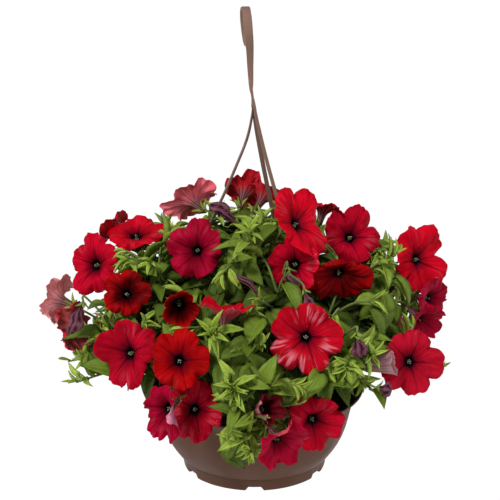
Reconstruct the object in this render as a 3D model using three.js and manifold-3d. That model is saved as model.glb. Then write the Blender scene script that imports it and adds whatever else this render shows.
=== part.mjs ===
// A petunia hanging basket: a moulded bowl with potting soil, a one-piece plastic hanger with three arms
// and a hook, leafy branches that rise from the soil, and open flowers on their stalks.
// Millimetres, +Z up. The origin is the seat inside the hook, the point that the basket hangs from.
import * as THREE from "three";
import { mergeVertices } from "three/addons/utils/BufferGeometryUtils.js";
import Module from "manifold-3d";

const wasm = await Module();
wasm.setup();

// Driving dimensions. Heights are measured from the pot's rim, until the last line lowers the whole basket.
const RIM_RADIUS = 125;
const POT_HEIGHT = 96;
const FOOT_RADIUS = 82;
const FOOT_HEIGHT = 15.5;
const WALL = 1.8;
const SEAT_HEIGHT = 433;
const HUB_OFFSET = -3;
const ARM_AZIMUTHS = [-44, 64, 184];
const CLEARANCE = 0.5;

// The plants fill a dome, and flowers and branch tips are placed on it.
const DOME_RADIUS = 205;
const DOME_RISE = 140;
const DOME_CENTRE = 57;

const PLASTIC = new THREE.MeshStandardMaterial({ color: 0x6b5349, roughness: 0.55, metalness: 0 });
const SOIL = new THREE.MeshStandardMaterial({ color: 0x2b1d14, roughness: 1, metalness: 0 });
const LEAF = new THREE.MeshStandardMaterial({ color: 0x5f8a2a, roughness: 0.6, metalness: 0 });
const PETAL = new THREE.MeshStandardMaterial({ color: 0xb0081f, roughness: 0.5, metalness: 0 });

const UP = new THREE.Vector3(0, 0, 1);
const radians = THREE.MathUtils.degToRad;

// A direction from its compass angle and its rise above the horizon, in degrees.
function direction(azimuth, rise) {
  const flat = Math.cos(radians(rise));
  return new THREE.Vector3(
    flat * Math.cos(radians(azimuth)),
    flat * Math.sin(radians(azimuth)),
    Math.sin(radians(rise)),
  );
}

// A point on the dome of foliage. Reach 1 is on the dome, and less is inside it.
function onDome(azimuth, rise, reach) {
  const point = direction(azimuth, rise).multiplyScalar(reach);
  return new THREE.Vector3(point.x * DOME_RADIUS, point.y * DOME_RADIUS, point.z * DOME_RISE + DOME_CENTRE);
}

// Solids: a closed geometry becomes a manifold for a join or a cut, and comes back as a geometry.
function solid(geometry) {
  const bare = geometry.clone();
  for (const name of Object.keys(bare.attributes)) {
    if (name !== "position") bare.deleteAttribute(name);
  }
  const merged = mergeVertices(bare, 1e-3);
  return new wasm.Manifold(
    new wasm.Mesh({
      numProp: 3,
      vertProperties: new Float32Array(merged.attributes.position.array),
      triVerts: new Uint32Array(merged.index.array),
    }),
  );
}

function geometryOf(shape) {
  const { vertProperties, triVerts, numProp } = shape.getMesh();
  const corners = new Float32Array(triVerts.length * 3);
  triVerts.forEach((vertex, corner) => {
    corners.set(vertProperties.subarray(vertex * numProp, vertex * numProp + 3), corner * 3);
  });
  const geometry = new THREE.BufferGeometry();
  geometry.setAttribute("position", new THREE.BufferAttribute(corners, 3));
  geometry.computeVertexNormals();
  return geometry;
}

function mesh(name, shape, material) {
  const made = new THREE.Mesh(geometryOf(shape), material);
  made.name = name;
  return made;
}

// A closed profile of [radius, height] points, turned about the Z axis.
function turned(profile, segments) {
  const points = profile.map(([radius, height]) => new THREE.Vector2(radius, height));
  return solid(new THREE.LatheGeometry(points, segments).rotateX(Math.PI / 2));
}

function box(width, depth, height, x, y, z) {
  return new THREE.BoxGeometry(width, depth, height).translate(x, y, z);
}

// A strip of constant section along a curve, with its ends closed.
function swept(section, curve, steps) {
  return solid(new THREE.ExtrudeGeometry(section, { extrudePath: curve, steps, bevelEnabled: false }));
}

function roundSection(radius, sides) {
  const section = new THREE.Shape();
  for (let side = 0; side < sides; side += 1) {
    const angle = (side / sides) * Math.PI * 2;
    const corner = [radius * Math.cos(angle), radius * Math.sin(angle)];
    if (side === 0) section.moveTo(...corner);
    else section.lineTo(...corner);
  }
  return section;
}

// The pot: a shallow bowl with a flared lip, standing on a notched foot ring. Its floor has drain holes,
// and three lugs inside the lip each have a slot for an arm of the hanger.
const LEDGE = -POT_HEIGHT + FOOT_HEIGHT;
const FLOOR = LEDGE - 7;
const POT_PROFILE = [
  [0, FLOOR],
  [FOOT_RADIUS - 8, FLOOR],
  [FOOT_RADIUS - WALL - 1, -POT_HEIGHT],
  [FOOT_RADIUS, -POT_HEIGHT],
  [FOOT_RADIUS + 1.5, LEDGE],
  [FOOT_RADIUS + 3.5, LEDGE + 1],
  [93, -71],
  [101.5, -58],
  [107, -45],
  [112.6, -19],
  [119, -5],
  [RIM_RADIUS - 0.6, -2.6],
  [RIM_RADIUS, -0.6],
  [RIM_RADIUS - 1, 0],
  [RIM_RADIUS - 6.5, -2.4],
  [110.8, -19],
  [105.2, -45],
  [99.6, -57.5],
  [91.4, -69.6],
  [FOOT_RADIUS + 1, LEDGE + 2.6],
  [FOOT_RADIUS - 6, FLOOR + 2],
  [0, FLOOR + 2],
];
const POT_SEGMENTS = 36;
const NOTCH = { count: 6, width: 17, height: 4.6 };
const DRAIN = { count: 6, radius: 4, ring: 52 };
const LUG = { radius: 109.5, depth: 14, width: 15, top: -7.5, height: 3 };
const SLOT = { depth: 5.4, width: 7.4 };

function pot() {
  let shape = turned(POT_PROFILE, POT_SEGMENTS);
  for (const azimuth of ARM_AZIMUTHS) {
    const middle = LUG.top - LUG.height / 2;
    const lug = box(LUG.depth, LUG.width, LUG.height, LUG.radius, 0, middle).rotateZ(radians(azimuth));
    const slot = box(SLOT.depth, SLOT.width, 4 * LUG.height, LUG.radius, 0, middle).rotateZ(radians(azimuth));
    shape = shape.add(solid(lug)).subtract(solid(slot));
  }
  for (let index = 0; index < NOTCH.count; index += 1) {
    const turn = radians(-90 + (index * 360) / NOTCH.count);
    const notch = box(40, NOTCH.width, NOTCH.height, FOOT_RADIUS, 0, NOTCH.height / 2 - POT_HEIGHT - 0.1);
    shape = shape.subtract(solid(notch.rotateZ(turn)));
  }
  for (let index = 0; index < DRAIN.count; index += 1) {
    const hole = new THREE.CylinderGeometry(DRAIN.radius, DRAIN.radius, 12, 8).rotateX(Math.PI / 2);
    hole.translate(DRAIN.ring, 0, FLOOR).rotateZ(radians((index * 360) / DRAIN.count));
    shape = shape.subtract(solid(hole));
  }
  return mesh("pot", shape, PLASTIC);
}

// The potting soil fills the bowl to below the lugs, a little clear of the wall, with a slight crown.
const SOIL_TOP = -26;
const SOIL_PROFILE = [
  [0, FLOOR + 2 + CLEARANCE],
  [FOOT_RADIUS - 7, FLOOR + 2 + CLEARANCE],
  [FOOT_RADIUS - 0.2, LEDGE + 3],
  [90, -69],
  [98.6, -57],
  [104.4, -44.5],
  [107.4, -30],
  [103, SOIL_TOP],
  [60, SOIL_TOP + 5],
  [0, SOIL_TOP + 7],
];

// The hanger: one moulding. A flat hook stands on a tapering shank, and three thin T-section arms leave
// its foot, bow outwards and drop through the slots, where a barb under each lug takes the load.
const HUB_HEIGHT = SEAT_HEIGHT - 96;
const STRAP = 3.6;
const HOOK_LINE = [
  [0, -4],
  [0, 38],
  [-5, 54],
  [-12.5, 72],
  [-10.5, 88],
  [0, 97.8],
  [11.5, 91],
  [15.5, 76],
  [13, 60],
];
const HOOK_TURN = 78;
const SHANK_TAPER = [
  [-2.1, -4],
  [2.1, -4],
  [2.8, 14],
  [5.2, 52],
  [5.2, 104],
  [-5.2, 104],
  [-5.2, 52],
  [-2.8, 14],
];
const ARM = { width: 5.4, flange: 1.5, rib: 1.6, depth: 2.6 };
const BARB = { width: 9, depth: 2.6, height: 3 };

function outline(points) {
  return new THREE.Shape(points.map(([x, y]) => new THREE.Vector2(x, y)));
}

function hook() {
  const line = new THREE.SplineCurve(HOOK_LINE.map(([x, y]) => new THREE.Vector2(x, y)));
  const steps = 18;
  const sides = [[], []];
  for (let step = 0; step <= steps; step += 1) {
    const at = line.getPointAt(step / steps);
    const along = line.getTangentAt(step / steps);
    sides[0].push([at.x + (along.y * STRAP) / 2, at.y - (along.x * STRAP) / 2]);
    sides[1].unshift([at.x - (along.y * STRAP) / 2, at.y + (along.x * STRAP) / 2]);
  }
  const strap = new THREE.ExtrudeGeometry(outline([...sides[0], ...sides[1]]), { depth: 16, bevelEnabled: false });
  strap.translate(0, 0, -8).rotateX(Math.PI / 2);
  const taper = new THREE.ExtrudeGeometry(outline(SHANK_TAPER), { depth: 80, bevelEnabled: false });
  taper.translate(0, 0, -40).rotateX(Math.PI / 2).rotateZ(Math.PI / 2);
  const hub = new THREE.CylinderGeometry(3.4, 5.2, 12, 10).rotateX(Math.PI / 2).translate(0, 0, -6);
  const shape = solid(strap).intersect(solid(taper)).add(solid(hub));
  return solid(geometryOf(shape).rotateZ(radians(HOOK_TURN)).translate(HUB_OFFSET, 0, HUB_HEIGHT));
}

function arm(azimuth) {
  const lug = direction(azimuth, 0).multiplyScalar(LUG.radius);
  const reach = Math.hypot(lug.x - HUB_OFFSET, lug.y);
  const turn = Math.atan2(lug.y, lug.x - HUB_OFFSET);
  const curve = new THREE.CatmullRomCurve3(
    [
      [2, HUB_HEIGHT - 2],
      [3.4, HUB_HEIGHT - 16],
      [12, HUB_HEIGHT - 46],
      [26, HUB_HEIGHT - 80],
      [42, HUB_HEIGHT - 114],
      [72, HUB_HEIGHT - 190],
      [96, HUB_HEIGHT - 264],
      [reach - 3, 30],
      [reach, LUG.top + 9],
      [reach, LUG.top - LUG.height - BARB.height],
    ].map(([out, height]) => new THREE.Vector3(out, 0, height)),
  );
  const half = ARM.width / 2;
  const section = outline([
    [-half, -ARM.flange / 2],
    [half, -ARM.flange / 2],
    [half, ARM.flange / 2],
    [ARM.rib / 2, ARM.flange / 2],
    [ARM.rib / 2, ARM.depth - ARM.flange / 2],
    [-ARM.rib / 2, ARM.depth - ARM.flange / 2],
    [-ARM.rib / 2, ARM.flange / 2],
    [-half, ARM.flange / 2],
  ]);
  const barbTop = LUG.top - LUG.height - CLEARANCE;
  const barb = box(BARB.depth, BARB.width, BARB.height, reach, 0, barbTop - BARB.height / 2);
  const shape = swept(section, curve, 15).add(solid(barb));
  return solid(geometryOf(shape).rotateZ(turn).translate(HUB_OFFSET, 0, 0));
}

function hanger() {
  const shape = ARM_AZIMUTHS.reduce((made, azimuth) => made.add(arm(azimuth)), hook());
  return mesh("hanger", shape, PLASTIC);
}

// A flower: five joined petals that open from a narrow tube, on a curved stalk. Its own frame has the
// face at the origin, looking along +Z. The first lobe is the longest, as the lowest one often is.
const LOBES = 5;
const LOBE_CORNERS = [[-0.24, false], [0.24, false], [0.5, true]];
const TUBE_LENGTH = 36;
const STALK = { radius: 1.3, sides: 4, steps: 3 };

// Each flower: compass angle, rise and reach on the dome, the way that it faces, its width, and how far
// open it is. The first 29 show from the front, and the others are round the back.
const FLOWERS = [
  [166, 30, 1.1, -115, 18, 66, 1],
  [152, 45, 1.09, -100, 62, 66, 1],
  [-152, 37, 0.97, -90, 30, 54, 1],
  [176, 16, 1.18, 148, 12, 56, 1],
  [-172, 9, 1.06, 150, -6, 60, 1],
  [129, 58, 1.16, 148, 22, 66, 1],
  [-155, 66, 0.93, -112, 22, 68, 1],
  [-120, 38, 0.98, -85, 4, 46, 0.7],
  [-101, 42, 0.97, 60, 68, 58, 0.85],
  [-135, 14, 0.99, -115, 12, 72, 1],
  [-114, 18, 1, -90, 25, 66, 1],
  [-115, -4, 1.1, -112, -4, 56, 0.9],
  [-112, -12, 0.86, -90, 4, 64, 1],
  [-73, 28, 0.99, -92, 18, 76, 1],
  [-53, 70, 1.23, -46, 33, 76, 1],
  [33, 48, 0.98, -82, 38, 70, 1],
  [-44, 50, 0.96, -88, -16, 74, 1],
  [-64, 62, 0.93, -108, 17, 49, 1],
  [14, 30, 1.13, -55, 18, 78, 1],
  [4, 16, 1.08, -38, 4, 64, 0.95],
  [-7, 10, 1, -52, -24, 54, 0.9],
  [-33, 6, 0.99, -84, 22, 72, 1],
  [-42, 9, 0.92, -14, 12, 34, 0.25],
  [-70, -14, 0.94, -76, -6, 66, 1],
  [-82, -15, 1.08, -56, -20, 66, 0.9],
  [-85, 0, 0.99, -50, 26, 38, 0.45],
  [95, 63, 1.2, 75, 35, 54, 0.85],
  [77, 73, 1.17, 50, 40, 50, 0.9],
  [53, 54, 1.15, 55, 62, 54, 1],
  [28, 14, 1, 28, 22, 68, 1],
  [54, 2, 1, 50, 4, 66, 1],
  [74, 30, 1, 78, 32, 72, 1],
  [96, 4, 1, 95, 8, 72, 1],
  [113, 28, 1, 110, 30, 64, 1],
  [136, 2, 1, 140, 0, 68, 1],
  [148, 37, 1.21, 150, 30, 62, 1],
  [22, -13, 0.98, 16, -10, 60, 0.95],
  [78, -20, 0.98, 75, -18, 62, 1],
  [166, -12, 0.96, 172, -10, 64, 1],
];

function corolla(width, open) {
  const corners = [];
  const edge = width / 2;
  const dish = edge * (1 - open);
  const rings = [
    [8.5, 8.5, -6 - dish * 0.9],
    [edge, edge * 0.8, 0],
    [10, 10, -9.5 - dish * 0.9],
    [3.4, 3.4, -TUBE_LENGTH],
  ];
  corners.push(new THREE.Vector3(0, 0, -24 - dish * 0.4));
  for (const [lobe, notch, height] of rings) {
    for (let side = 0; side < LOBES * LOBE_CORNERS.length; side += 1) {
      const petal = Math.floor(side / LOBE_CORNERS.length);
      const [turn, isNotch] = LOBE_CORNERS[side % LOBE_CORNERS.length];
      const angle = ((petal + turn) / LOBES) * Math.PI * 2;
      const longest = petal === 0 && lobe === edge && !isNotch ? 1.06 : 1;
      const radius = (isNotch ? notch : lobe) * longest;
      corners.push(new THREE.Vector3(radius * Math.cos(angle), radius * Math.sin(angle), height));
    }
  }
  corners.push(new THREE.Vector3(0, 0, -TUBE_LENGTH - 2));
  return closedRings(corners, LOBES * LOBE_CORNERS.length, rings.length);
}

// Rings of corners joined in order, with a single corner before the first ring and one after the last.
function closedRings(corners, sides, rings) {
  const faces = [];
  for (let side = 0; side < sides; side += 1) {
    const next = (side + 1) % sides;
    faces.push(0, 1 + side, 1 + next);
    for (let ring = 0; ring + 1 < rings; ring += 1) {
      const here = 1 + ring * sides;
      const there = here + sides;
      faces.push(here + side, there + side, there + next, here + side, there + next, here + next);
    }
    const last = 1 + (rings - 1) * sides;
    faces.push(last + side, corners.length - 1, last + next);
  }
  const geometry = new THREE.BufferGeometry().setFromPoints(corners);
  geometry.setIndex(faces);
  return geometry;
}

// A flower in its own place. Its stalk leaves the tube, curves round and ends just short of a stem.
function flower([azimuth, rise, reach, faceAzimuth, faceRise, width, open], joint) {
  const face = direction(faceAzimuth, faceRise);
  const centre = onDome(azimuth, rise, reach);
  const turn = new THREE.Quaternion().setFromUnitVectors(UP, face);
  const base = centre.clone().addScaledVector(face, 1 - TUBE_LENGTH);
  const bend = base.clone().addScaledVector(face, -0.4 * base.distanceTo(joint));
  const gap = bend.clone().sub(joint).setLength(STEM.radius + STALK.radius);
  const stalk = new THREE.QuadraticBezierCurve3(base, bend, joint.clone().add(gap));
  const petals = corolla(width, open).applyQuaternion(turn).translate(centre.x, centre.y, centre.z);
  return solid(petals).add(swept(roundSection(STALK.radius, STALK.sides), stalk, STALK.steps));
}

// A branch: a stem that leaves the soil, arches out to the dome and carries leaves, two side twigs and a
// tuft of young leaves at each tip. Each branch: compass angle and rise of its tip, its reach, and the
// share of the soil's radius where it leaves the soil.
const BRANCHES = [
  [-100, 68, 1.05, 0.1],
  [-168, 44, 0.98, 0.45],
  [-102, 26, 0.98, 0.5],
  [-93, 8, 0.98, 0.62],
  [-96, -14, 0.98, 0.78],
  [-12, 42, 0.98, 0.45],
  [-52, 12, 0.93, 0.55],
  [-38, 34, 0.92, 0.4],
  [-148, -4, 1.0, 0.7],
  [-176, -8, 0.96, 0.7],
  [-74, 52, 0.92, 0.25],
  [-18, -8, 0.95, 0.7],
  [40, 28, 0.98, 0.45],
  [66, -4, 0.96, 0.7],
  [92, 42, 0.98, 0.35],
  [116, -4, 0.96, 0.7],
  [134, 38, 0.96, 0.4],
  [150, -12, 0.94, 0.75],
];
const STEM = { radius: 1.9, sides: 4, steps: 8 };
const LEAF_SIZE = { length: 44, width: 21, thickness: 1.8 };
const SOIL_RADIUS = 92;
const GOLDEN_ANGLE = 137.5;

// A leaf is a thin lens with pointed ends. Its base is at the origin, and it points along +X.
function leaf(length, width) {
  const geometry = new THREE.OctahedronGeometry(0.5);
  return geometry.scale(length, width, LEAF_SIZE.thickness).translate(length / 2, 0, 0);
}

// A leaf on a stem: it leaves the stem sideways, turned round it, and leans towards the tip.
function leafAt(curve, share, turn, lean, length, width) {
  const at = curve.getPointAt(share);
  const along = curve.getTangentAt(share);
  const side = new THREE.Vector3().crossVectors(along, UP).normalize();
  const out = side.applyAxisAngle(along, radians(turn));
  const forward = out.clone().multiplyScalar(Math.cos(radians(lean)));
  forward.addScaledVector(along, Math.sin(radians(lean)));
  const across = new THREE.Vector3().crossVectors(along, out).normalize();
  const facing = new THREE.Vector3().crossVectors(forward, across);
  const frame = new THREE.Matrix4().makeBasis(forward, across, facing).setPosition(at);
  return leaf(length, width).applyMatrix4(frame);
}

function branchCurve([azimuth, rise, reach, start]) {
  const tip = onDome(azimuth, rise, reach);
  const foot = direction(azimuth, 0).multiplyScalar(SOIL_RADIUS * start);
  foot.z = SOIL_TOP + 9 - 5 * start * start;
  const lift = 46 + 0.3 * Math.max(tip.z, 0);
  const shoulder = foot.clone().lerp(tip, 0.3);
  shoulder.z = foot.z + lift;
  return new THREE.CatmullRomCurve3([foot, shoulder, foot.clone().lerp(tip, 0.7).setZ((shoulder.z + 2 * tip.z) / 3 + 6), tip]);
}

// The solids made so far. A stem or a flower that would touch one of them takes the first free place in a
// short list of shifts, and a leaf that would touch one is left out.
const taken = [];
const SHIFTS = [0, 1, -1, 2, -2, 3, -3, 4, -4, 5, -5, 6, -6];
const STEM_SHIFT = 3;
const FLOWER_SHIFT = 0.02;
const JOINT_CHOICES = 60;

function isClear(shape) {
  return taken.every((other) => shape.minGap(other, 2 * CLEARANCE) > CLEARANCE);
}

const basket = new THREE.Group();
basket.add(pot(), mesh("potting_soil", turned(SOIL_PROFILE, POT_SEGMENTS), SOIL), hanger());
for (const { name, geometry } of basket.children) {
  if (name !== "potting_soil") taken.push(solid(geometry));
}

// The stems come first, and the places along them where a stalk can join.
const stemSection = roundSection(STEM.radius, STEM.sides);
const joints = [];
const stems = BRANCHES.map(([azimuth, ...rest], index) => {
  for (const shift of SHIFTS) {
    const curve = branchCurve([azimuth + shift * STEM_SHIFT, ...rest]);
    const shape = swept(stemSection, curve, STEM.steps);
    if (isClear(shape)) {
      taken.push(shape);
      for (let step = 1; step < 2 * STEM.steps; step += 1) joints.push(curve.getPointAt(step / STEM.steps / 2));
      return { curve, shape };
    }
  }
  throw new Error(`no free place for branch ${index + 1}`);
});

// Then the flowers, each on a stalk to the nearest part of a stem that it can reach.
FLOWERS.forEach((place, index) => {
  const [azimuth, rise, reach, faceAzimuth, faceRise] = place;
  const back = direction(faceAzimuth, faceRise).multiplyScalar(-TUBE_LENGTH - 12);
  const near = onDome(azimuth, rise, reach).add(back);
  const choices = [...joints].sort((a, b) => a.distanceTo(near) - b.distanceTo(near)).slice(0, JOINT_CHOICES);
  for (const shift of SHIFTS) {
    const moved = place.map((value, key) => (key === 2 ? value + shift * FLOWER_SHIFT : value));
    for (const joint of choices) {
      const shape = flower(moved, joint);
      if (isClear(shape)) {
        taken.push(shape);
        basket.add(mesh(`flower_${String(index + 1).padStart(2, "0")}`, shape, PETAL));
        return;
      }
    }
  }
  throw new Error(`no free place for flower ${index + 1}`);
});

// Then the leaves, in pairs along each stem and shorter towards its tip, which joins them to the stem.
stems.forEach(({ curve, shape }, index) => {
  const own = taken.indexOf(shape);
  taken.splice(own, 1);
  let leafy = shape;
  for (let pair = 3; pair <= STEM.steps; pair += 1) {
    const young = (pair - 3) / (STEM.steps - 3);
    const length = LEAF_SIZE.length * (1 - 0.45 * young);
    const width = LEAF_SIZE.width * (1 - 0.5 * young);
    for (const side of [0, 180]) {
      const turn = side + pair * 72 + index * 40;
      const blade = solid(leafAt(curve, (pair - 0.2) / STEM.steps, turn, 15 + 45 * young, length, width));
      if (isClear(blade)) leafy = leafy.add(blade);
    }
  }
  taken.push(leafy);
  basket.add(mesh(`branch_${String(index + 1).padStart(2, "0")}`, leafy, LEAF));
});

// The basket hangs from the seat of its hook, straight above the foot of the hanger.
basket.position.set(-HUB_OFFSET, 0, -SEAT_HEIGHT);

export default basket;
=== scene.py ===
import math

import bpy
import numpy as np
from mathutils import Matrix, Quaternion, Vector, noise


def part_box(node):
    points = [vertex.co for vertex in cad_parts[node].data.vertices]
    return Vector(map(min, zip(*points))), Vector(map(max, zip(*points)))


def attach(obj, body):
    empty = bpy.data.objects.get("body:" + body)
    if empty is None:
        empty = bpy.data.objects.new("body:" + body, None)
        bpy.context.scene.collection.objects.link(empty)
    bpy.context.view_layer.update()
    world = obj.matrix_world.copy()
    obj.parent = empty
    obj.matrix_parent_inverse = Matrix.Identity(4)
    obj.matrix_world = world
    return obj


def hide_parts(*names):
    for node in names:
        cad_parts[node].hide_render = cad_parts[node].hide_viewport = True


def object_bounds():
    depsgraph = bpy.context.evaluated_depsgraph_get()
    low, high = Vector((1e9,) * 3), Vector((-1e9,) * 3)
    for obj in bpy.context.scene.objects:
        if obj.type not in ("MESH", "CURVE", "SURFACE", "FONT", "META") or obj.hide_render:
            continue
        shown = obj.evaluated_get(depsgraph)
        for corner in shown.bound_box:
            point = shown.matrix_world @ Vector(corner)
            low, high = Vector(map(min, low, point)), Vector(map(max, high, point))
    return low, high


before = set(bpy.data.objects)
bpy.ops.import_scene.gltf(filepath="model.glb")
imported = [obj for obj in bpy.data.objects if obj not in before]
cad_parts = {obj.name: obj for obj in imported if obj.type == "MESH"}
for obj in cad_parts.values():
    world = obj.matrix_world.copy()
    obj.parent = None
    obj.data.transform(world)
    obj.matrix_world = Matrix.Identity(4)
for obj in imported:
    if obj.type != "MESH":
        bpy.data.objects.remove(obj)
cad_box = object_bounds()

# ---------------------------------------------------------------------------------------------
# The studio: a long lens a little above the basket, a pale floor well below it, and soft white
# light from all round with one broad lamp high on the front left and a weaker one on the right.
MM = 0.001
scene = bpy.context.scene
scene.view_settings.view_transform = "Standard"
scene.view_settings.look = "None"

camera_data = bpy.data.cameras.new("camera")
camera_data.sensor_width = 36.0
camera_data.lens = 128.2
camera_data.clip_end = 500.0
camera = bpy.data.objects.new("camera", camera_data)
scene.collection.objects.link(camera)
CAMERA_AIM = Vector((-2.2, 0.0, -270.5)) * MM
CAMERA_DISTANCE = 2000 * MM
CAMERA_RISE = math.radians(18.0)
camera.location = CAMERA_AIM + CAMERA_DISTANCE * Vector((0, -math.cos(CAMERA_RISE), math.sin(CAMERA_RISE)))
camera.rotation_euler = (math.pi / 2 - CAMERA_RISE, 0, 0)
scene.camera = camera

world = bpy.data.worlds.new("studio")
scene.world = world
world.use_nodes = True
backdrop = world.node_tree.nodes["Background"]
backdrop.inputs["Color"].default_value = (1.0, 1.0, 1.0, 1.0)
backdrop.inputs["Strength"].default_value = 0.45


def studio_lamp(name, azimuth, rise, strength, softness):
    """A broad far lamp that shines from a compass direction and a height, in degrees."""
    lamp = bpy.data.lights.new(name, "SUN")
    lamp.energy = strength
    lamp.angle = math.radians(softness)
    stand = bpy.data.objects.new(name, lamp)
    scene.collection.objects.link(stand)
    stand.rotation_euler = (math.radians(90 - rise), 0, math.radians(azimuth + 90))


studio_lamp("key_lamp", -124, 46, 2.5, 14)
studio_lamp("side_lamp", -25, 32, 0.7, 40)


def start_from(name, primitive, **values):
    """A new primitive under its own name, with nothing else selected."""
    bpy.ops.object.select_all(action="DESELECT")
    primitive(**values)
    piece = bpy.context.object
    piece.name = name
    return piece


FLOOR_SIZE = 400.0
FLOOR_DROP = 1.0
floor_place = (0, 0, cad_box[0][2] - FLOOR_DROP)
floor = start_from("floor", bpy.ops.mesh.primitive_plane_add, size=FLOOR_SIZE, location=floor_place)
floor_paint = bpy.data.materials.new("floor_paint")
floor_paint.use_nodes = True
floor_shader = floor_paint.node_tree.nodes["Principled BSDF"]
floor_shader.inputs["Base Color"].default_value = (0.92, 0.92, 0.92, 1)
floor_shader.inputs["Roughness"].default_value = 0.9
floor.data.materials.append(floor_paint)


# ---------------------------------------------------------------------------------------------
# The pot: one injection-moulded bowl of matt taupe plastic, with a flared lip that has a thin
# turned edge, drain holes in its floor, and a foot ring with low notches that let the water out.
class Flow:
    """One socket of a material, so that shader maths reads as a plain expression."""

    def __init__(self, tree, socket):
        self.tree = tree
        self.socket = socket

    def node(self, kind, settings=None, out=0, **inputs):
        """A node of this kind, with its settings and its sockets' values or links. i0 is its first socket."""
        made = self.tree.nodes.new(kind)
        for name, value in (settings or {}).items():
            setattr(made, name, value)
        for name, value in inputs.items():
            key = int(name[1:]) if name[0] == "i" and name[1:].isdigit() else name.replace("_", " ")
            socket = made.inputs[key]
            if isinstance(value, Flow):
                self.tree.links.new(value.socket, socket)
            elif isinstance(value, tuple) and len(value) == 3 and socket.type == "RGBA":
                socket.default_value = (*value, 1.0)
            else:
                socket.default_value = value
        return Flow(self.tree, made.outputs[out])

    def maths(self, operation, *others):
        """A sum or a function of this value, and of the others if it takes more."""
        values = {f"i{index}": value for index, value in enumerate((self, *others))}
        return self.node("ShaderNodeMath", {"operation": operation}, **values)

    def __add__(self, other):
        return self.maths("ADD", other)

    def __sub__(self, other):
        return self.maths("SUBTRACT", other)

    def __mul__(self, other):
        return self.maths("MULTIPLY", other)

    def __rsub__(self, other):
        return self.maths("MULTIPLY", -1.0) + other

    __radd__ = __add__
    __rmul__ = __mul__

    def smooth(self, low, high, start=0.0, end=1.0):
        """From start to end, as this value goes from low to high."""
        settings = {"interpolation_type": "SMOOTHSTEP"}
        steps = {"Value": self, "From_Min": low, "From_Max": high, "To_Min": start, "To_Max": end}
        return self.node("ShaderNodeMapRange", settings, **steps)

    def mix(self, first, second):
        """The first colour where this mask is 0, and the second where it is 1."""
        settings = {"data_type": "RGBA", "clamp_result": False}
        return self.node("ShaderNodeMix", settings, out=2, i0=self, i6=first, i7=second)

    def grain(self, scale, detail=2.0, roughness=0.5):
        """Noise over this vector."""
        values = {"Vector": self, "Scale": scale, "Detail": detail, "Roughness": roughness}
        return self.node("ShaderNodeTexNoise", **values)

    def parts(self):
        """The X, Y and Z of this vector."""
        split = self.tree.nodes.new("ShaderNodeSeparateXYZ")
        self.tree.links.new(self.socket, split.inputs[0])
        return [Flow(self.tree, split.outputs[i]) for i in range(3)]


def new_finish(name, **fixed):
    """A new material, with its fixed values on the shader, its coordinates, and a way to link the rest."""
    finish = bpy.data.materials.new(name)
    finish.use_nodes = True
    tree = finish.node_tree
    shader = tree.nodes["Principled BSDF"]
    for key, value in fixed.items():
        shader.inputs[key.replace("_", " ")].default_value = value
    places = Flow(tree, tree.nodes.new("ShaderNodeTexCoord").outputs["Object"])

    def link(bump=None, bump_height=0.0005, bump_strength=1.0, **flows):
        for key, flow in flows.items():
            tree.links.new(flow.socket, shader.inputs[key.replace("_", " ")])
        if bump is not None:
            raised = places.node("ShaderNodeBump", Height=bump, Distance=bump_height, Strength=bump_strength)
            tree.links.new(raised.socket, shader.inputs["Normal"])

    return finish, places, link


def moulded_plastic(name, body, dust, specks):
    """Matt moulded plastic: a faint cloudiness, pale dust and scuffs, and a fine even grain."""
    finish, places, link = new_finish(name, Specular_IOR_Level=0.14)
    cloud = places.grain(9.0, 3.0).smooth(0.35, 0.7)
    colour = cloud.mix(body, tuple(value * 1.22 for value in body))
    scuff = places.grain(55.0, 4.0, 0.65).smooth(0.6, 0.78) * specks
    colour = scuff.mix(colour, dust)
    fine = places.grain(900.0)
    link(
        Base_Color=colour,
        Roughness=places.grain(30.0, 3.0).smooth(0.3, 0.7, 0.46, 0.62),
        bump=fine,
        bump_height=0.00012,
        bump_strength=0.5,
    )
    return finish


def stands_for(piece, slot, *nodes):
    """The piece rides on the basket and replaces its CAD nodes. Its slot is not used."""
    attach(piece, "root")
    if nodes:
        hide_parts(*nodes)


POT_SIDES = 144
# The wall's section, as radius and height above the rim: under the floor, round the foot, up the outside,
# over the lip, down the inside, and back over the floor.
POT_WALL = [
    (3.0, -88.6), (40.0, -88.6), (66.0, -88.4), (72.5, -88.8), (75.0, -90.2), (77.0, -95.2), (78.0, -95.9),
    (80.6, -96.0), (81.6, -95.4), (82.3, -93.0), (83.4, -84.0), (83.8, -81.2), (84.8, -80.5), (86.2, -80.3),
    (87.6, -79.0), (90.6, -75.0), (95.2, -68.6), (99.4, -61.6), (103.2, -53.4), (106.4, -44.4),
    (108.8, -35.0), (110.8, -26.0), (112.4, -19.4), (113.4, -15.4), (114.4, -12.6), (116.2, -9.8),
    (119.0, -6.6), (122.0, -4.0), (124.0, -3.0), (124.9, -1.9), (125.0, -0.9), (124.5, -0.2), (123.6, 0.0),
    (122.6, -0.3), (121.2, -1.6), (118.2, -4.9), (115.4, -8.2), (113.0, -11.8), (111.6, -15.8),
    (110.4, -20.4), (108.8, -27.0), (106.8, -36.0), (104.4, -45.2), (101.2, -54.0), (97.4, -62.4),
    (93.0, -69.6), (88.4, -76.0), (85.0, -79.0), (80.0, -82.0), (76.0, -85.4), (70.0, -86.4), (40.0, -86.6),
    (3.0, -86.6),
]
pot_low, pot_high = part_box("pot")
pot_middle = (pot_low + pot_high) / 2
RIM = Vector((pot_middle.x, pot_middle.y, pot_high.z))
start_radius, start_height = POT_WALL[0]
start_place = RIM + Vector((0, 0, start_height * MM))
pot = start_from(
    "pot_bowl", bpy.ops.mesh.primitive_circle_add,
    vertices=POT_SIDES, radius=start_radius * MM, location=start_place,
)


def edit_all():
    """Edit mode, with the whole mesh selected."""
    bpy.ops.object.mode_set(mode="EDIT")
    bpy.ops.mesh.select_all(action="SELECT")


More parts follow.
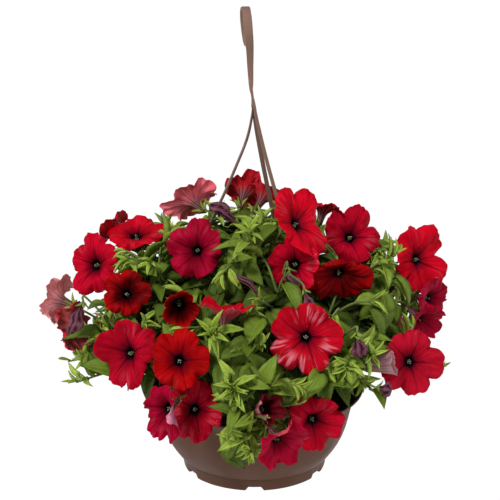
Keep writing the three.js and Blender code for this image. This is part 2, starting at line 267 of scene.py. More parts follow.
edit_all()
bpy.ops.mesh.edge_face_add()
bpy.ops.mesh.delete(type="ONLY_FACE")
bpy.ops.mesh.select_all(action="SELECT")
for (radius, height), (next_radius, next_height) in zip(POT_WALL, POT_WALL[1:]):
    growth = next_radius / radius
    bpy.ops.mesh.extrude_region_move()
    bpy.ops.transform.translate(value=(0, 0, (next_height - height) * MM))
    bpy.ops.transform.resize(value=(growth, growth, 1), center_override=RIM)
bpy.ops.mesh.select_all(action="SELECT")
bpy.ops.mesh.select_non_manifold()
bpy.ops.mesh.fill_holes(sides=0)
bpy.ops.mesh.select_all(action="SELECT")
bpy.ops.mesh.normals_make_consistent(inside=False)
bpy.ops.object.mode_set(mode="OBJECT")


def finish_place(piece):
    """The piece's place goes into its mesh, and its object stands at the origin."""
    piece.data.transform(piece.matrix_basis)
    piece.matrix_basis = Matrix.Identity(4)
    piece.data.name = piece.name
    return piece


finish_place(pot)
DRAIN_HOLES = 6
DRAIN_RING = 52.0 * MM
DRAIN_RADIUS = 4 * MM
FLOOR_HEIGHT = -87.6 * MM
DRILL_LENGTH = 8 * MM
for index in range(DRAIN_HOLES):
    turn = 2 * math.pi * index / DRAIN_HOLES
    middle = RIM + Vector((DRAIN_RING * math.cos(turn), DRAIN_RING * math.sin(turn), FLOOR_HEIGHT))
    bpy.ops.mesh.primitive_cylinder_add(
        vertices=24, radius=DRAIN_RADIUS, depth=DRILL_LENGTH, location=middle
    )
    drill = bpy.context.object
    cut = pot.modifiers.new("drain_hole", "BOOLEAN")
    cut.operation = "DIFFERENCE"
    cut.object = drill
    bpy.context.view_layer.objects.active = pot
    bpy.ops.object.modifier_apply(modifier=cut.name)
    bpy.data.objects.remove(drill)
NOTCHES = 6
NOTCH_HALF_ANGLE = math.radians(6.2)
NOTCH_RISE = 4.4 * MM
FOOT_INSIDE, FOOT_OUTSIDE = 74 * MM, 83 * MM
FOOT_TOP = -89 * MM
for vertex in pot.data.vertices:
    spot = vertex.co - RIM
    turn = (math.atan2(spot.y, spot.x) + math.pi / 2) % (2 * math.pi / NOTCHES)
    turn = min(turn, 2 * math.pi / NOTCHES - turn)
    on_foot = FOOT_INSIDE < math.hypot(spot.x, spot.y) < FOOT_OUTSIDE and spot.z < FOOT_TOP
    if on_foot and turn < NOTCH_HALF_ANGLE:
        vertex.co.z = max(vertex.co.z, pot_low.z) + NOTCH_RISE
bpy.ops.object.select_all(action="DESELECT")
pot.select_set(True)
bpy.context.view_layer.objects.active = pot
bpy.ops.object.shade_smooth_by_angle(angle=math.radians(38))
TAUPE = (0.078, 0.034, 0.02)
POT_DUST = (0.3, 0.25, 0.21)
pot.data.materials.append(moulded_plastic("pot_plastic", TAUPE, POT_DUST, 0.18))
stands_for(pot, "pot_plastic", "pot")


# ---------------------------------------------------------------------------------------------
# The potting soil: damp dark peat that fills the bowl to a little below the rim, heaped slightly
# towards the middle, with a crumbly top.
SOIL_RADIUS = 106.5 * MM
SOIL_EDGE = -27.5 * MM
SOIL_DEPTH = 30 * MM
SOIL_RINGS = 13
RING_WIDTH = 7.6 * MM
soil_place = RIM + Vector((0, 0, SOIL_EDGE))
soil = start_from(
    "potting_soil_peat", bpy.ops.mesh.primitive_circle_add,
    vertices=72, radius=SOIL_RADIUS, fill_type="NGON", location=soil_place,
)
edit_all()
for ring in range(SOIL_RINGS):
    bpy.ops.mesh.inset(thickness=RING_WIDTH, depth=(1.1 if ring < 5 else 0.5) * MM)
bpy.ops.mesh.select_all(action="SELECT")
bpy.ops.transform.vertex_random(offset=1.6 * MM, normal=0.2, seed=5)
bpy.ops.object.mode_set(mode="OBJECT")
finish_place(soil)
bulk = soil.modifiers.new("depth", "SOLIDIFY")
bulk.thickness = SOIL_DEPTH
bulk.offset = -1
bulk.use_even_offset = False
bpy.ops.object.modifier_apply(modifier="depth")
# Nothing of it reaches the pot's wall, which narrows downwards.
for vertex in soil.data.vertices:
    spot = vertex.co - RIM
    room = 104.5 if spot.z > -34 * MM else 98.0
    away = math.hypot(spot.x, spot.y)
    if away > room * MM:
        vertex.co.x = RIM.x + spot.x * room * MM / away
        vertex.co.y = RIM.y + spot.y * room * MM / away
bpy.ops.object.shade_smooth()
peat, places, link = new_finish("peat")
crumb = places.grain(260.0, 5.0, 0.7)
fleck = places.grain(140.0).smooth(0.66, 0.74)
peat_colour = crumb.smooth(0.3, 0.75).mix((0.006, 0.004, 0.003), (0.045, 0.028, 0.018))
link(
    Base_Color=fleck.mix(peat_colour, (0.16, 0.1, 0.055)),
    Roughness=crumb.smooth(0.2, 0.8, 0.95, 0.75),
    bump=crumb,
    bump_height=0.0016,
)
soil.data.materials.append(peat)
stands_for(soil, "soil", "potting_soil")


# ---------------------------------------------------------------------------------------------
# The hanger: one long moulding in the pot's plastic. A flat strap bends over into the hook, its
# shank tapers to a point on a thin neck, and three ribbed arms bow out to barbs under the rim.
def smooth_line(points, steps):
    """Points along a smooth curve through the given ones, with the given steps in each stretch."""
    points = [Vector(point) for point in points]
    ends = [2 * points[0] - points[1], *points, 2 * points[-1] - points[-2]]
    line = []
    for a, b, c, d in zip(ends, ends[1:], ends[2:], ends[3:]):
        for step in range(steps):
            t = step / steps
            bent = (2 * b) + (c - a) * t + (2 * a - 5 * b + 4 * c - d) * t**2 + (3 * b - a - 3 * c + d) * t**3
            line.append(bent / 2)
    return line + [points[-1]]


GRID = bpy.ops.mesh.primitive_grid_add


def skin(name, rings):
    """A grid wrapped over rings of points, joined along its seam and closed at both ends."""
    around = len(rings[0])
    along = len(rings) - 1
    piece = start_from(name, GRID, x_subdivisions=around, y_subdivisions=along, size=1)
    for vertex in piece.data.vertices:
        ring = rings[round((vertex.co.y + 0.5) * along)]
        vertex.co = ring[round((vertex.co.x + 0.5) * around) % around]
    edit_all()
    bpy.ops.mesh.remove_doubles(threshold=1e-6)
    bpy.ops.mesh.select_all(action="DESELECT")
    bpy.ops.mesh.select_mode(type="EDGE")
    bpy.ops.mesh.select_non_manifold()
    bpy.ops.mesh.edge_face_add()
    bpy.ops.mesh.select_all(action="SELECT")
    bpy.ops.mesh.normals_make_consistent(inside=False)
    bpy.ops.object.mode_set(mode="OBJECT")
    return piece


def section_rings(line, side, outline_at):
    """Rings across a line. The section's x runs along side, and its y across both side and line."""
    rings = []
    for index, point in enumerate(line):
        ahead = line[min(index + 1, len(line) - 1)] - line[max(index - 1, 0)]
        across = side - ahead * (side.dot(ahead) / ahead.length_squared)
        across.normalize()
        up = ahead.normalized().cross(across)
        rings.append([point + across * x + up * y for x, y in outline_at(index / (len(line) - 1))])
    return rings


def round_section(sides):
    """The corners of a round section with a radius of 1."""
    return [(math.cos(i * 2 * math.pi / sides), math.sin(i * 2 * math.pi / sides)) for i in range(sides)]


def strap_section(x, y):
    """A flat strap's section with rounded corners, as twelve points, from its half width and thickness."""
    soft = y * 0.75
    corner = [(x, y - soft), (x - soft * 0.3, y - soft * 0.3), (x - soft, y)]
    half = corner + [(-a, b) for a, b in reversed(corner)]
    return [(a * MM, b * MM) for a, b in half + [(-a, -b) for a, b in half]]


HUB = RIM + Vector((-1.8, 0.0, 333.0)) * MM
HOOK_TURN = math.radians(98.0)
HOOK_LINE = [
    (0, 13), (0, 24), (-0.8, 40), (-4.8, 56), (-10.0, 69), (-12.8, 81), (-10.4, 93.5), (-1.8, 102.6),
    (8.4, 99.8), (14.0, 89.5), (15.2, 77), (13.6, 65.5), (12.2, 59.5),
]
LEAN_HEIGHTS = [0, 8, 14, 28, 58, 82, 103]
LEANS = [0.0, -1.0, -2.3, -2.5, -4.2, -7.0, -8.2]
HOOK_WIDTHS = [(0.0, 1.8), (0.06, 2.6), (0.3, 4.4), (0.42, 4.9), (0.7, 4.9), (0.93, 4.3), (1.0, 3.2)]
hook_across = Vector((-math.sin(HOOK_TURN), math.cos(HOOK_TURN), 0))


def in_hook_plane(out, height):
    """A place on the hook: out from its middle, and above the hub, with the strap's slight lean."""
    lean = float(np.interp(height, LEAN_HEIGHTS, LEANS))
    place = Vector((out * math.cos(HOOK_TURN) + lean, out * math.sin(HOOK_TURN), height))
    return HUB + place * MM


def hook_section(share):
    """The strap's section: narrow at the neck, broad over the hook, narrow again at its end."""
    stops, widths = zip(*HOOK_WIDTHS)
    return strap_section(float(np.interp(share, stops, widths)), 1.9 if share > 0.2 else 1.5 + share * 2)


hook_line = smooth_line([in_hook_plane(out, height) for out, height in HOOK_LINE], 6)
hook = skin("hook_strap", section_rings(hook_line, hook_across, hook_section))

neck_line = [in_hook_plane(0, height) for height in (-8, -5, -1, 4, 9, 12, 15)]
NECK_WIDTHS = [1.4, 2.2, 1.9, 1.5, 1.5, 2.0, 1.0]
neck_rings = []
for point, width in zip(neck_line, NECK_WIDTHS):
    neck_rings.append([point + Vector((x, y, 0)) * width * MM for x, y in round_section(12)])
neck = skin("neck", neck_rings)

# Each arm: compass angle, and its distance out from the neck at each height below it.
ARM_DROPS = [3, -4, -16, -42, -74, -108, -156, -211, -266, -303, -326, -346]
ARMS = [
    (-44, [0.7, 2.0, 4.6, 13.0, 25.0, 39.0, 59.0, 79.0, 96.0, 107.0, 110.0, 110.8]),
    (64, [0.7, 1.6, 3.4, 12.0, 24.0, 38.0, 58.0, 79.0, 96.0, 104.0, 107.0, 107.2]),
    (184, [0.7, 0.9, 1.8, 7.5, 20.0, 34.5, 57.0, 80.0, 96.0, 104.0, 107.2, 107.6]),
]
ARM_SECTION = [
    (-2.4, -0.7), (2.4, -0.7), (2.7, -0.4), (2.7, 0.2), (2.4, 0.5), (0.9, 0.7), (0.7, 1.9), (0.4, 2.2),
    (-0.4, 2.2), (-0.7, 1.9), (-0.9, 0.7), (-2.4, 0.5), (-2.7, 0.2), (-2.7, -0.4),
]
BARB_SIZE = (2.4 * MM, 9.0 * MM, 2.8 * MM)


def arm_section(share):
    """The arm's ribbed section, slimmer where the arm leaves the neck."""
    size = float(np.interp(share, [0, 0.1, 0.25], [0.42, 0.72, 1.0])) * MM
    return [(x * size, y * size) for x, y in ARM_SECTION]


def pointing(azimuth, lift):
    """A direction from its compass angle and its angle above level, in degrees."""
    turn, lift = math.radians(azimuth), math.radians(lift)
    return math.cos(turn) * math.cos(lift), math.sin(turn) * math.cos(lift), math.sin(lift)


up = Vector((0, 0, 1))
arms = []
for azimuth, outs in ARMS:
    heading = Vector(pointing(azimuth, 0))
    stations = [HUB + heading * out * MM + Vector((0, 0, drop * MM)) for out, drop in zip(outs, ARM_DROPS)]
    arm_line = smooth_line(stations, 4)
    rings = section_rings(arm_line, heading.cross(up), arm_section)
    arms.append(skin(f"arm_{azimuth}", rings))
    barb_place = arm_line[-1] + Vector((0, 0, 0.6 * MM))
    barb = start_from("barb", bpy.ops.mesh.primitive_cube_add, size=1, location=barb_place)
    barb.scale = BARB_SIZE
    barb.rotation_euler = (0, 0, math.radians(azimuth))
    bpy.ops.object.transform_apply(location=False)
    bpy.ops.object.modifier_add(type="BEVEL")
    barb.modifiers[0].width = 0.7 * MM
    barb.modifiers[0].segments = 2
    bpy.ops.object.modifier_apply(modifier=barb.modifiers[0].name)
    arms.append(barb)


def joined(name, pieces):
    """Several loose shapes as one piece, with its place in its mesh."""
    bpy.ops.object.select_all(action="DESELECT")
    for piece in pieces:
        finish_place(piece)
        piece.select_set(True)
    bpy.context.view_layer.objects.active = pieces[0]
    if len(pieces) > 1:
        bpy.ops.object.join()
    pieces[0].name = name
    pieces[0].data.name = name
    return pieces[0]


hanger = joined("hanger_with_hook", [hook, neck, *arms])
bpy.ops.object.shade_smooth_by_angle(angle=math.radians(42))
PALE_TAUPE = (0.165, 0.098, 0.073)
HANGER_DUST = (0.42, 0.35, 0.3)
hanger.data.materials.append(moulded_plastic("hanger_plastic", PALE_TAUPE, HANGER_DUST, 0.3))
stands_for(hanger, "hanger_plastic", "hanger")


# ---------------------------------------------------------------------------------------------
# The open blooms: five petals grown into one thin trumpet, with a ruffled edge, a crease down the
# middle of each petal, a notch between petals, dark veins, a near-black throat and a paler back.
FACE_DEPTH = 12 * MM
LEVEL_BAND = 0.3 * MM
RING_CORNERS = 11
LONGEST_PETAL = 1.06


def outward_face(mesh, corners):
    """The way a trumpet's flat face looks, found from its facets, and the corners round the face's edge."""
    normals = np.array([face.normal for face in mesh.polygons])
    middles = np.array([face.center for face in mesh.polygons])
    areas = np.array([face.area for face in mesh.polygons])
    near = np.ones(len(areas), dtype=bool)
    lean = np.zeros(3)
    for turn in range(4):
        spread = (normals[near] * areas[near, None]).T @ normals[near]
        axes = np.linalg.eigh(spread)[1]
        axis = axes[:, 2] if turn == 0 or abs(axes[:, 2] @ lean) > abs(axes[:, 0] @ lean) else axes[:, 0]
        along = middles @ axis
        heavy = (along * areas).sum() / areas.sum()
        if heavy - along.min() < along.max() - heavy:
            axis = -axis
        along = middles @ axis
        near = along > along.max() - FACE_DEPTH
        lean = axis
    along = corners @ axis
    edge = np.unique(corners[along > along.max() - 0.8 * MM].round(5), axis=0)
    centre = edge.mean(axis=0)
    axis = np.linalg.svd(edge - centre)[2][2] if len(edge) > 5 else axis
    return (axis if axis @ (centre - corners.mean(axis=0)) > 0 else -axis), edge


def face_of(node, look=None):
    """The centre of a flower's face, the way it looks, the way its longest petal points, and its radius.

    Where the way it looks is given, its edge is the foremost ring of corners that lie level across it.
    """
    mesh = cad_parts[node].data
    corners = np.array([vertex.co for vertex in mesh.vertices])
    if look:
        axis = np.array(pointing(*look))
        corners = np.unique(corners.round(5), axis=0)
        along = corners @ axis
        rim = max(level for level in along if (abs(along - level) < LEVEL_BAND).sum() > RING_CORNERS)
        edge = corners[abs(along - rim) < LEVEL_BAND]
    else:
        axis, edge = outward_face(mesh, corners)
    centre = edge.mean(axis=0)
    reach = np.linalg.norm(edge - centre, axis=1)
    longest = edge[reach > reach.max() - 0.4 * MM].mean(axis=0) - centre
    return Vector(centre), Vector(axis), Vector(longest), float(reach.max() / LONGEST_PETAL)


PALE_STREAK = (0.66, 0.22, 0.28)
THROAT = (0.014, 0.002, 0.008)
TUBE_PALE, TUBE_STRIPE = (0.2, 0.09, 0.085), (0.07, 0.014, 0.03)
PINK_DOT = (0.6, 0.25, 0.3)


def petal_finish(name, body, paler_and_highlight, dark, streaks=0.07, dusk=0.64, back=False):
    """A velvety petal or its back: veins and throat in the dark colour, painted shade in the folds between
    lobes and round the throat, worn streaks, fine dots, and painted highlights in the paler colour.

    Dusk is how far out, as a share of the petal, the darkness round the throat fades: partly the throat's own
    dark colour, partly painted shade.
    """
    finish, places, link = new_finish(name, Specular_IOR_Level=0.03)
    around, out, _ = places.node("ShaderNodeUVMap", {"uv_map": "petal"}).parts()
    wobble = places.grain(60.0) - 0.5
    lobe = (around * 5 + 0.5 + wobble * 0.1).maths("FRACT") - 0.5
    side = lobe.maths("ABSOLUTE")
    # Paler patches at random: partly the petal's uneven colour, partly painted highlight.
    colour = places.grain(34.0, 3.0).smooth(0.3, 0.66).mix(body, paler_and_highlight)
    # Painted highlight: fine pale lines over the outer petal, where its ridges would catch the light; the
    # same lines are raised in the bump.
    painted_highlight_lines = (around * 5 * 31 + wobble * 7.0).maths("SINE").smooth(-0.3, 1.0)
    colour = (painted_highlight_lines * out.smooth(0.55, 0.85) * 0.35).mix(colour, paler_and_highlight)
    # Painted shade: the petal goes darker in the fold between lobes, most towards the throat.
    fold = side.smooth(0.42, 0.5) * out.smooth(0.5, 0.8, 0.75, 0.15)
    colour = fold.mix(colour, dark)
    main_vein = side.smooth(0.0, 0.055, 1.0, 0.0) * out.smooth(0.56, 0.95, 0.85, 0.15)
    fan = (side * (60.0 - out * 22) + wobble * 3.5).maths("COSINE").smooth(0.35, 0.95)
    fan = fan * side.smooth(0.05, 0.1) * out.smooth(0.52, 0.88, 0.5, 0.07)
    twigs = (side * 34 + out * 46 + wobble * 9).maths("SINE").smooth(0.7, 1.0)
    twigs = twigs * out.smooth(0.6, 0.8, 0.0, 0.16)
    veins = (main_vein + fan + twigs).maths("MINIMUM", 1.0)
    colour = veins.mix(colour, dark)
    rays = places.node("ShaderNodeCombineXYZ", X=around * 48.0, Y=out * 2.5, Z=places.grain(25.0, 1.0))
    worn = rays.grain(1.0, 3.0).smooth(0.5, 0.68) * places.grain(21.0, 1.0).smooth(0.5, 0.58)
    colour = (worn * out.smooth(0.6, 0.8) * streaks).mix(colour, PALE_STREAK)
    if back:
        stripe = ((around * 10).maths("FRACT") - 0.5).maths("ABSOLUTE").smooth(0.22, 0.42)
        colour = out.smooth(0.36, 0.62, 1.0, 0.0).mix(colour, stripe.mix(TUBE_PALE, TUBE_STRIPE))
    else:
        # Darker out to dusk round the throat, further along the veins: partly the throat's own dark colour,
        # partly painted shade in the funnel.
        star = side.smooth(0.0, 0.14, 0.05, 0.0)
        shade = (out - star * 2.0).smooth(0.45, dusk, 0.75, 0.0)
        colour = shade.mix(colour, dark)
        throat = (out - star).smooth(0.42, 0.5, 1.0, 0.0)
        colour = throat.mix(colour, THROAT)
    # The outermost edge goes paler: partly the petal's own pale rim, partly a painted highlight.
    colour = out.smooth(0.97, 1.0, 0.0, 0.35).mix(colour, paler_and_highlight)
    dots = places.grain(520.0, 1.0).smooth(0.79, 0.83) * 0.5
    colour = dots.mix(colour, PINK_DOT)
    pucker = places.grain(210.0, 3.0, 0.6)
    link(
        Base_Color=colour,
        Roughness=pucker.smooth(0.3, 0.75, 0.5, 0.66),
        bump=pucker * 0.4 - main_vein * 0.7 - fan * 0.4 - painted_highlight_lines * 0.25,
        bump_height=0.001,
        bump_strength=0.9,
    )
    return finish


DARK_VEIN = (0.09, 0.0006, 0.006)
BLACK_VEIN = (0.012, 0.0002, 0.0006)
# Each petal's body colour, its paler colour, which is also its painted highlight, and its veins, then how
# streaked it is, and its dusk.
FRONTS = {
    "scarlet": ((0.33, 0.0004, 0.005), (0.54, 0.001, 0.014), DARK_VEIN),
    "poppy": ((0.2, 0.0002, 0.0005), (0.37, 0.0006, 0.0016), DARK_VEIN, 0.04),
    "ruby": ((0.24, 0.0003, 0.007), (0.42, 0.0011, 0.016), DARK_VEIN, 0.12),
    "maroon": ((0.035, 0.0003, 0.003), (0.13, 0.004, 0.009), BLACK_VEIN, 0.03, 0.8),
    "crimson": ((0.31, 0.0004, 0.009), (0.52, 0.0015, 0.02), DARK_VEIN, 0.16),
    "magenta": ((0.18, 0.0003, 0.009), (0.36, 0.0008, 0.024), DARK_VEIN),
    # Garnet: a deep red, darkened further with painted shade, darkest round the throat.
    "garnet_painted_shade": ((0.085, 0.0003, 0.0006), (0.36, 0.0006, 0.002), BLACK_VEIN, 0.03, 0.95),
    "coral": ((0.25, 0.0006, 0.008), (0.42, 0.004, 0.02), DARK_VEIN, 0.25),
    "streaked": ((0.26, 0.0003, 0.005), (0.45, 0.001, 0.012), DARK_VEIN, 0.62),
    "faded": ((0.3, 0.03, 0.028), (0.5, 0.1, 0.1), (0.1, 0.01, 0.018)),
}
BACKS = {
    "back": ((0.42, 0.03, 0.045), (0.6, 0.085, 0.1), (0.2, 0.01, 0.02)),
    "red_back": ((0.4, 0.006, 0.012), (0.56, 0.02, 0.03), (0.16, 0.003, 0.008)),
    # Pink back: brighter than the plain back, with painted glow standing in for light shining through the
    # petal.
    "pink_back_painted_glow": ((0.7, 0.09, 0.12), (0.9, 0.2, 0.24), (0.3, 0.03, 0.05)),
    "grey_back": ((0.34, 0.13, 0.14), (0.5, 0.26, 0.28), (0.12, 0.02, 0.05)),
    "brown_back": ((0.29, 0.03, 0.03), (0.44, 0.09, 0.085), (0.14, 0.01, 0.02)),
    "mauve_back": ((0.46, 0.09, 0.17), (0.62, 0.2, 0.31), (0.3, 0.04, 0.09)),
    # Pale back: brighter still, with painted glow standing in for light shining through the petal.
    "pale_back_painted_glow": ((0.66, 0.18, 0.19), (0.9, 0.34, 0.36), (0.25, 0.04, 0.05)),
}
PETAL_FINISHES = {name: petal_finish(f"petal_{name}", *tints) for name, tints in FRONTS.items()}
for name, tints in BACKS.items():
    PETAL_FINISHES[name] = petal_finish(f"petal_{name}", *tints, back=True)

# Each bloom's finish, its back's, then how far its edge turns forward (or back, below 0), and how ruffled
# it is. The first bloom is flower_01.
BLOOMS = [
    ("crimson", "back", -0.1, 1.0), ("scarlet", "back", -0.08, 1.1), ("garnet_painted_shade", "back", -0.05, 1.2),
    ("faded", "pale_back_painted_glow", -0.18, 1.3), ("crimson", "brown_back", -0.3, 1.9),
    ("coral", "pink_back_painted_glow", -0.14, 1.1), ("magenta", "back", -0.12, 0.9), ("garnet_painted_shade", "back", 0.3, 0.8),
    ("scarlet", "back", 0.05, 1.0), ("ruby", "back", -0.06, 1.1), ("poppy", "back", -0.1, 0.8),
    ("magenta", "mauve_back", 0.12, 1.5), ("ruby", "back", -0.08, 1.0), ("streaked", "back", -0.06, 0.8),
    ("scarlet", "back", -0.1, 1.0), ("ruby", "back", -0.1, 1.3), ("garnet_painted_shade", "back", -0.12, 1.0),
    ("crimson", "back", -0.1, 1.0), ("scarlet", "back", -0.1, 0.9), ("magenta", "back", -0.1, 1.0),
    ("magenta", "back", -0.06, 1.4), ("coral", "back", -0.08, 0.8), ("grey_back", "grey_back", 0.4, 0.7),
    ("ruby", "back", -0.08, 1.0), ("magenta", "back", 0.1, 1.3), ("maroon", "pale_back_painted_glow", 0.1, 1.6),
    ("scarlet", "red_back", -0.1, 1.2), ("coral", "red_back", -0.08, 1.2),
    ("crimson", "red_back", -0.14, 1.1), ("scarlet", "back", -0.08, 0.9), ("crimson", "back", -0.1, 1.1),
    ("scarlet", "back", -0.06, 1.0), ("magenta", "back", -0.1, 1.0), ("poppy", "back", -0.12, 1.2),
    ("crimson", "back", -0.08, 0.9), ("crimson", "red_back", -0.06, 0.9), ("garnet_painted_shade", "back", -0.08, 1.2),
    ("crimson", "back", -0.1, 1.0), ("coral", "back", -0.1, 1.1),
]
# What sets single blooms apart, by their numbers: how much taller than wide each is, the way some faces look
# or are turned (compass angle and lift), small changes of place and size that open one bloom beside another,
# how far some are still closed, upper petals that stay short, lobes drawn out to points, and one lobe folded
# over, by its angle from the top.
TALL_BLOOMS = {
    1: 1.1, 2: 0.86, 6: 0.78, 8: 1.05, 10: 1.14, 11: 1.06, 12: 1.14, 13: 1.15, 15: 1.16, 17: 1.0, 19: 1.12,
    20: 0.88, 21: 0.9, 22: 1.05, 25: 1.12, 36: 0.85,
}
LOOKS = {8: (-85, 4), 18: (-108, 17), 23: (-14, 12), 26: (-50, 26)}
TURNED_BLOOMS = {6: (130, 14)}
NUDGES = {1: (0, 0, -5), 12: (0, 8, 0), 17: (0, 3, -4), 36: (0, 0, -10)}
BLOOM_SCALES = {8: 0.84, 16: 1.06, 18: 1.22, 23: 0.78}
SHORT_TOPS = {17: 0.45}
HALF_OPEN = {8: 6.0, 9: 2.0, 23: 12.0, 26: 9.0}
STAR_BLOOMS = {26}
FOLDED_LOBES = {12: -72}
PETALS_ROUND = 100
PETAL_ROWS = 26
TUBE_LENGTH = 36.0
THROAT_ROW = 0.46
PETAL_THICKNESS = 0.45 * MM


def wave(x, y, z, seed):
    """Soft noise from -1 to 1 at each point."""
    shift = Vector((seed * 7.31, seed * 3.17, seed * 1.73))
    return np.array([noise.noise(Vector(point) + shift) for point in zip(x, y, z)])


def bloom_points(around, out, radius, cup, ruffle, dish, seed, tall, upright):
    """The trumpet's surface in its own frame, in millimetres: its face looks along +Z from the origin."""
    luck = np.random.default_rng(seed)
    turn = around * 2 * np.pi
    place = around * 5
    which = np.round(place).astype(int) % 5
    lobe = 2 * ((place + 0.5) % 1) - 1
    lobe_sizes = 1 + luck.uniform(-0.1, 0.07, 5)
    lobe_sizes[0] = 1.05
    lobe_tilts = luck.uniform(-0.24, 0.14, 5) * ruffle
    lobe_twists = luck.uniform(-0.14, 0.14, 5) * ruffle
    closeness = np.clip((1 - np.abs(lobe)) * 2.2, 0, 1)
    blend = closeness * closeness * (3 - 2 * closeness)
    size = 1 + (lobe_sizes[which] - 1) * blend
    tilt = lobe_tilts[which] * blend
    twist = lobe_twists[which] * lobe * blend
    limb = np.clip((out - THROAT_ROW) / (1 - THROAT_ROW), 0, 1)
    tube = np.clip(out / THROAT_ROW, 0, 1)
    narrow = np.interp(tube, [0, 0.3, 0.6, 0.8, 0.92, 1], [2.5, 3.1, 3.7, 4.4, 5.2, 6.4])
    narrow = narrow * (1 + 0.06 * np.cos(turn * 5) * np.clip(tube * 3, 0, 1))
    depth = np.interp(tube, [0, 0.3, 0.6, 0.8, 0.92, 1], [-TUBE_LENGTH, -29, -23, -18, -15.5, -13.4])
    notch = 0.15 + 0.08 * luck.random()
    point = 3.6
    if seed in STAR_BLOOMS:
        notch, point = 0.5, 1.3
    rim = radius * size * (1 - notch * np.abs(lobe) ** point) * (1 - 0.03 * np.exp(-((lobe / 0.12) ** 2)))
    frill = wave(np.cos(turn) * 5, np.sin(turn) * 5, limb * 0, seed)
    teeth = wave(np.cos(turn) * 15, np.sin(turn) * 15, limb * 0, seed + 5)
    rim = rim * (1 + 0.05 * frill + 0.035 * teeth)
    reach = np.where(out > THROAT_ROW, narrow + (rim - narrow) * limb**0.97, narrow)
    reach = reach * (1 - SHORT_TOPS.get(seed, 0) * np.clip(np.cos(turn - upright), 0, 1) * limb)
    swirl = 0.05 * limb**2 * wave(np.cos(turn) * 1.5, np.sin(turn) * 1.5, limb, seed + 41)
    x = reach * np.cos(turn + swirl)
    y = reach * np.sin(turn + swirl)
    z = depth + 13.4 * (1 - (1 - limb) ** 2.0)
    slope = cup * limb**1.6 + tilt * limb**1.7 + twist * limb**1.5
    slope = slope - 0.24 * limb**1.8 * np.abs(lobe) ** 2.2
    slope = slope - 0.08 * np.exp(-((lobe / 0.1) ** 2)) * limb * (1.25 - limb)
    slope = slope + 0.05 * np.exp(-(((1 - np.abs(lobe)) / 0.12) ** 2)) * limb * (1.3 - limb)
    broad = wave(np.cos(turn) * 1.9, np.sin(turn) * 1.9, limb * 1.2, seed + 11)
    fine = wave(np.cos(turn) * 5.0, np.sin(turn) * 5.0, limb * 2.4, seed + 23)
    edge = wave(np.cos(turn) * 9.0, np.sin(turn) * 9.0, limb * 1.5, seed + 31)
    slope = slope + ruffle * (0.2 * broad * limb**2 + 0.15 * fine * limb**2 + 0.05 * edge * limb**5)
    z = z + radius * slope - dish * (1 - limb) ** 1.3 * np.clip(tube, 0, 1) * (out > 0.2)
    if seed in FOLDED_LOBES:
        aside = np.abs((turn - upright - math.radians(FOLDED_LOBES[seed]) + np.pi) % (2 * np.pi) - np.pi)
        over = np.clip(1 - aside / 0.75, 0, 1) ** 0.7 * limb
        drawn_in = 1 - 0.75 * over**1.6
        x, y, z = x * drawn_in, y * drawn_in, z + radius * 0.5 * np.sin(over * 2.4)
    high, wide = math.cos(upright), math.sin(upright)
    rise = (x * high + y * wide) * tall
    side = (y * high - x * wide) / tall**0.8
    return np.stack([rise * high - side * wide, rise * wide + side * high, z], axis=1)


def bloom_frame(centre, axis, longest):
    """Turns a bloom's own frame to its place, with its first petal along its longest."""
    across = axis.cross(longest).normalized()
    ahead = across.cross(axis).normalized()
    turned = Matrix((ahead, across, axis)).transposed().to_4x4()
    return Matrix.Translation(centre) @ turned


blooms = []
for index, (front, behind, cup, ruffle) in enumerate(BLOOMS, start=1):
    node = f"flower_{index:02d}"
    centre, axis, longest, radius = face_of(node, LOOKS.get(index))
    centre = centre + Vector(NUDGES.get(index, (0, 0, 0))) * MM
    radius = radius * BLOOM_SCALES.get(index, 1.0)
    if index in TURNED_BLOOMS:
        axis = Vector(pointing(*TURNED_BLOOMS[index]))
    dish = HALF_OPEN.get(index, 0.0)
    bloom = start_from(
        f"bloom_{index:02d}", GRID, x_subdivisions=PETALS_ROUND, y_subdivisions=PETAL_ROWS, size=1
    )
    bloom.data.uv_layers[0].name = "petal"
    flat = np.array([vertex.co for vertex in bloom.data.vertices]) + 0.5
    turned = bloom_frame(centre, axis, longest)
    overhead = turned.to_3x3().transposed() @ Vector((0, 0, 1))
    upright = math.atan2(overhead.y, overhead.x)
    tall = TALL_BLOOMS.get(index, 1.03)
    shaped = bloom_points(flat[:, 0], flat[:, 1], radius / MM, cup, ruffle, dish, index, tall, upright)
    bloom.data.vertices.foreach_set("co", (shaped * MM).astype(np.float32).ravel())
    bloom.data.transform(turned)
    edit_all()
    bpy.ops.mesh.remove_doubles(threshold=1e-5)
    bpy.ops.mesh.flip_normals()
    bpy.ops.object.mode_set(mode="OBJECT")
    bloom.data.materials.append(PETAL_FINISHES[front])
    bloom.data.materials.append(PETAL_FINISHES[behind])
    wall = bloom.modifiers.new("wall", "SOLIDIFY")
    wall.thickness = PETAL_THICKNESS
    wall.offset = -1
    wall.material_offset = 1
    wall.material_offset_rim = 0
    bpy.ops.object.modifier_apply(modifier="wall")
    bpy.ops.object.shade_smooth()
    stands_for(bloom, "petals", node)
    blooms.append((centre, axis, radius, dish))


# ---------------------------------------------------------------------------------------------
# The stems and leaves: soft green stems rise from the peat, arch over the rim and branch into side
# shoots. Each carries pointed leaves, broad and dark low down, small and bright at its tip. Leaves deep
# inside the plant are darkened further with painted shade.
DOME = RIM + Vector((0, 0, 57 * MM))
DOME_RADIUS = 205
DOME_HEIGHT = 140
# How far out in the soil each branch is rooted, as a share of the bowl.
BRANCH_STARTS = [
    0.1, 0.45, 0.5, 0.62, 0.78, 0.45, 0.55, 0.4, 0.7, 0.7, 0.25, 0.7, 0.45, 0.7, 0.35, 0.7, 0.4, 0.75,
]


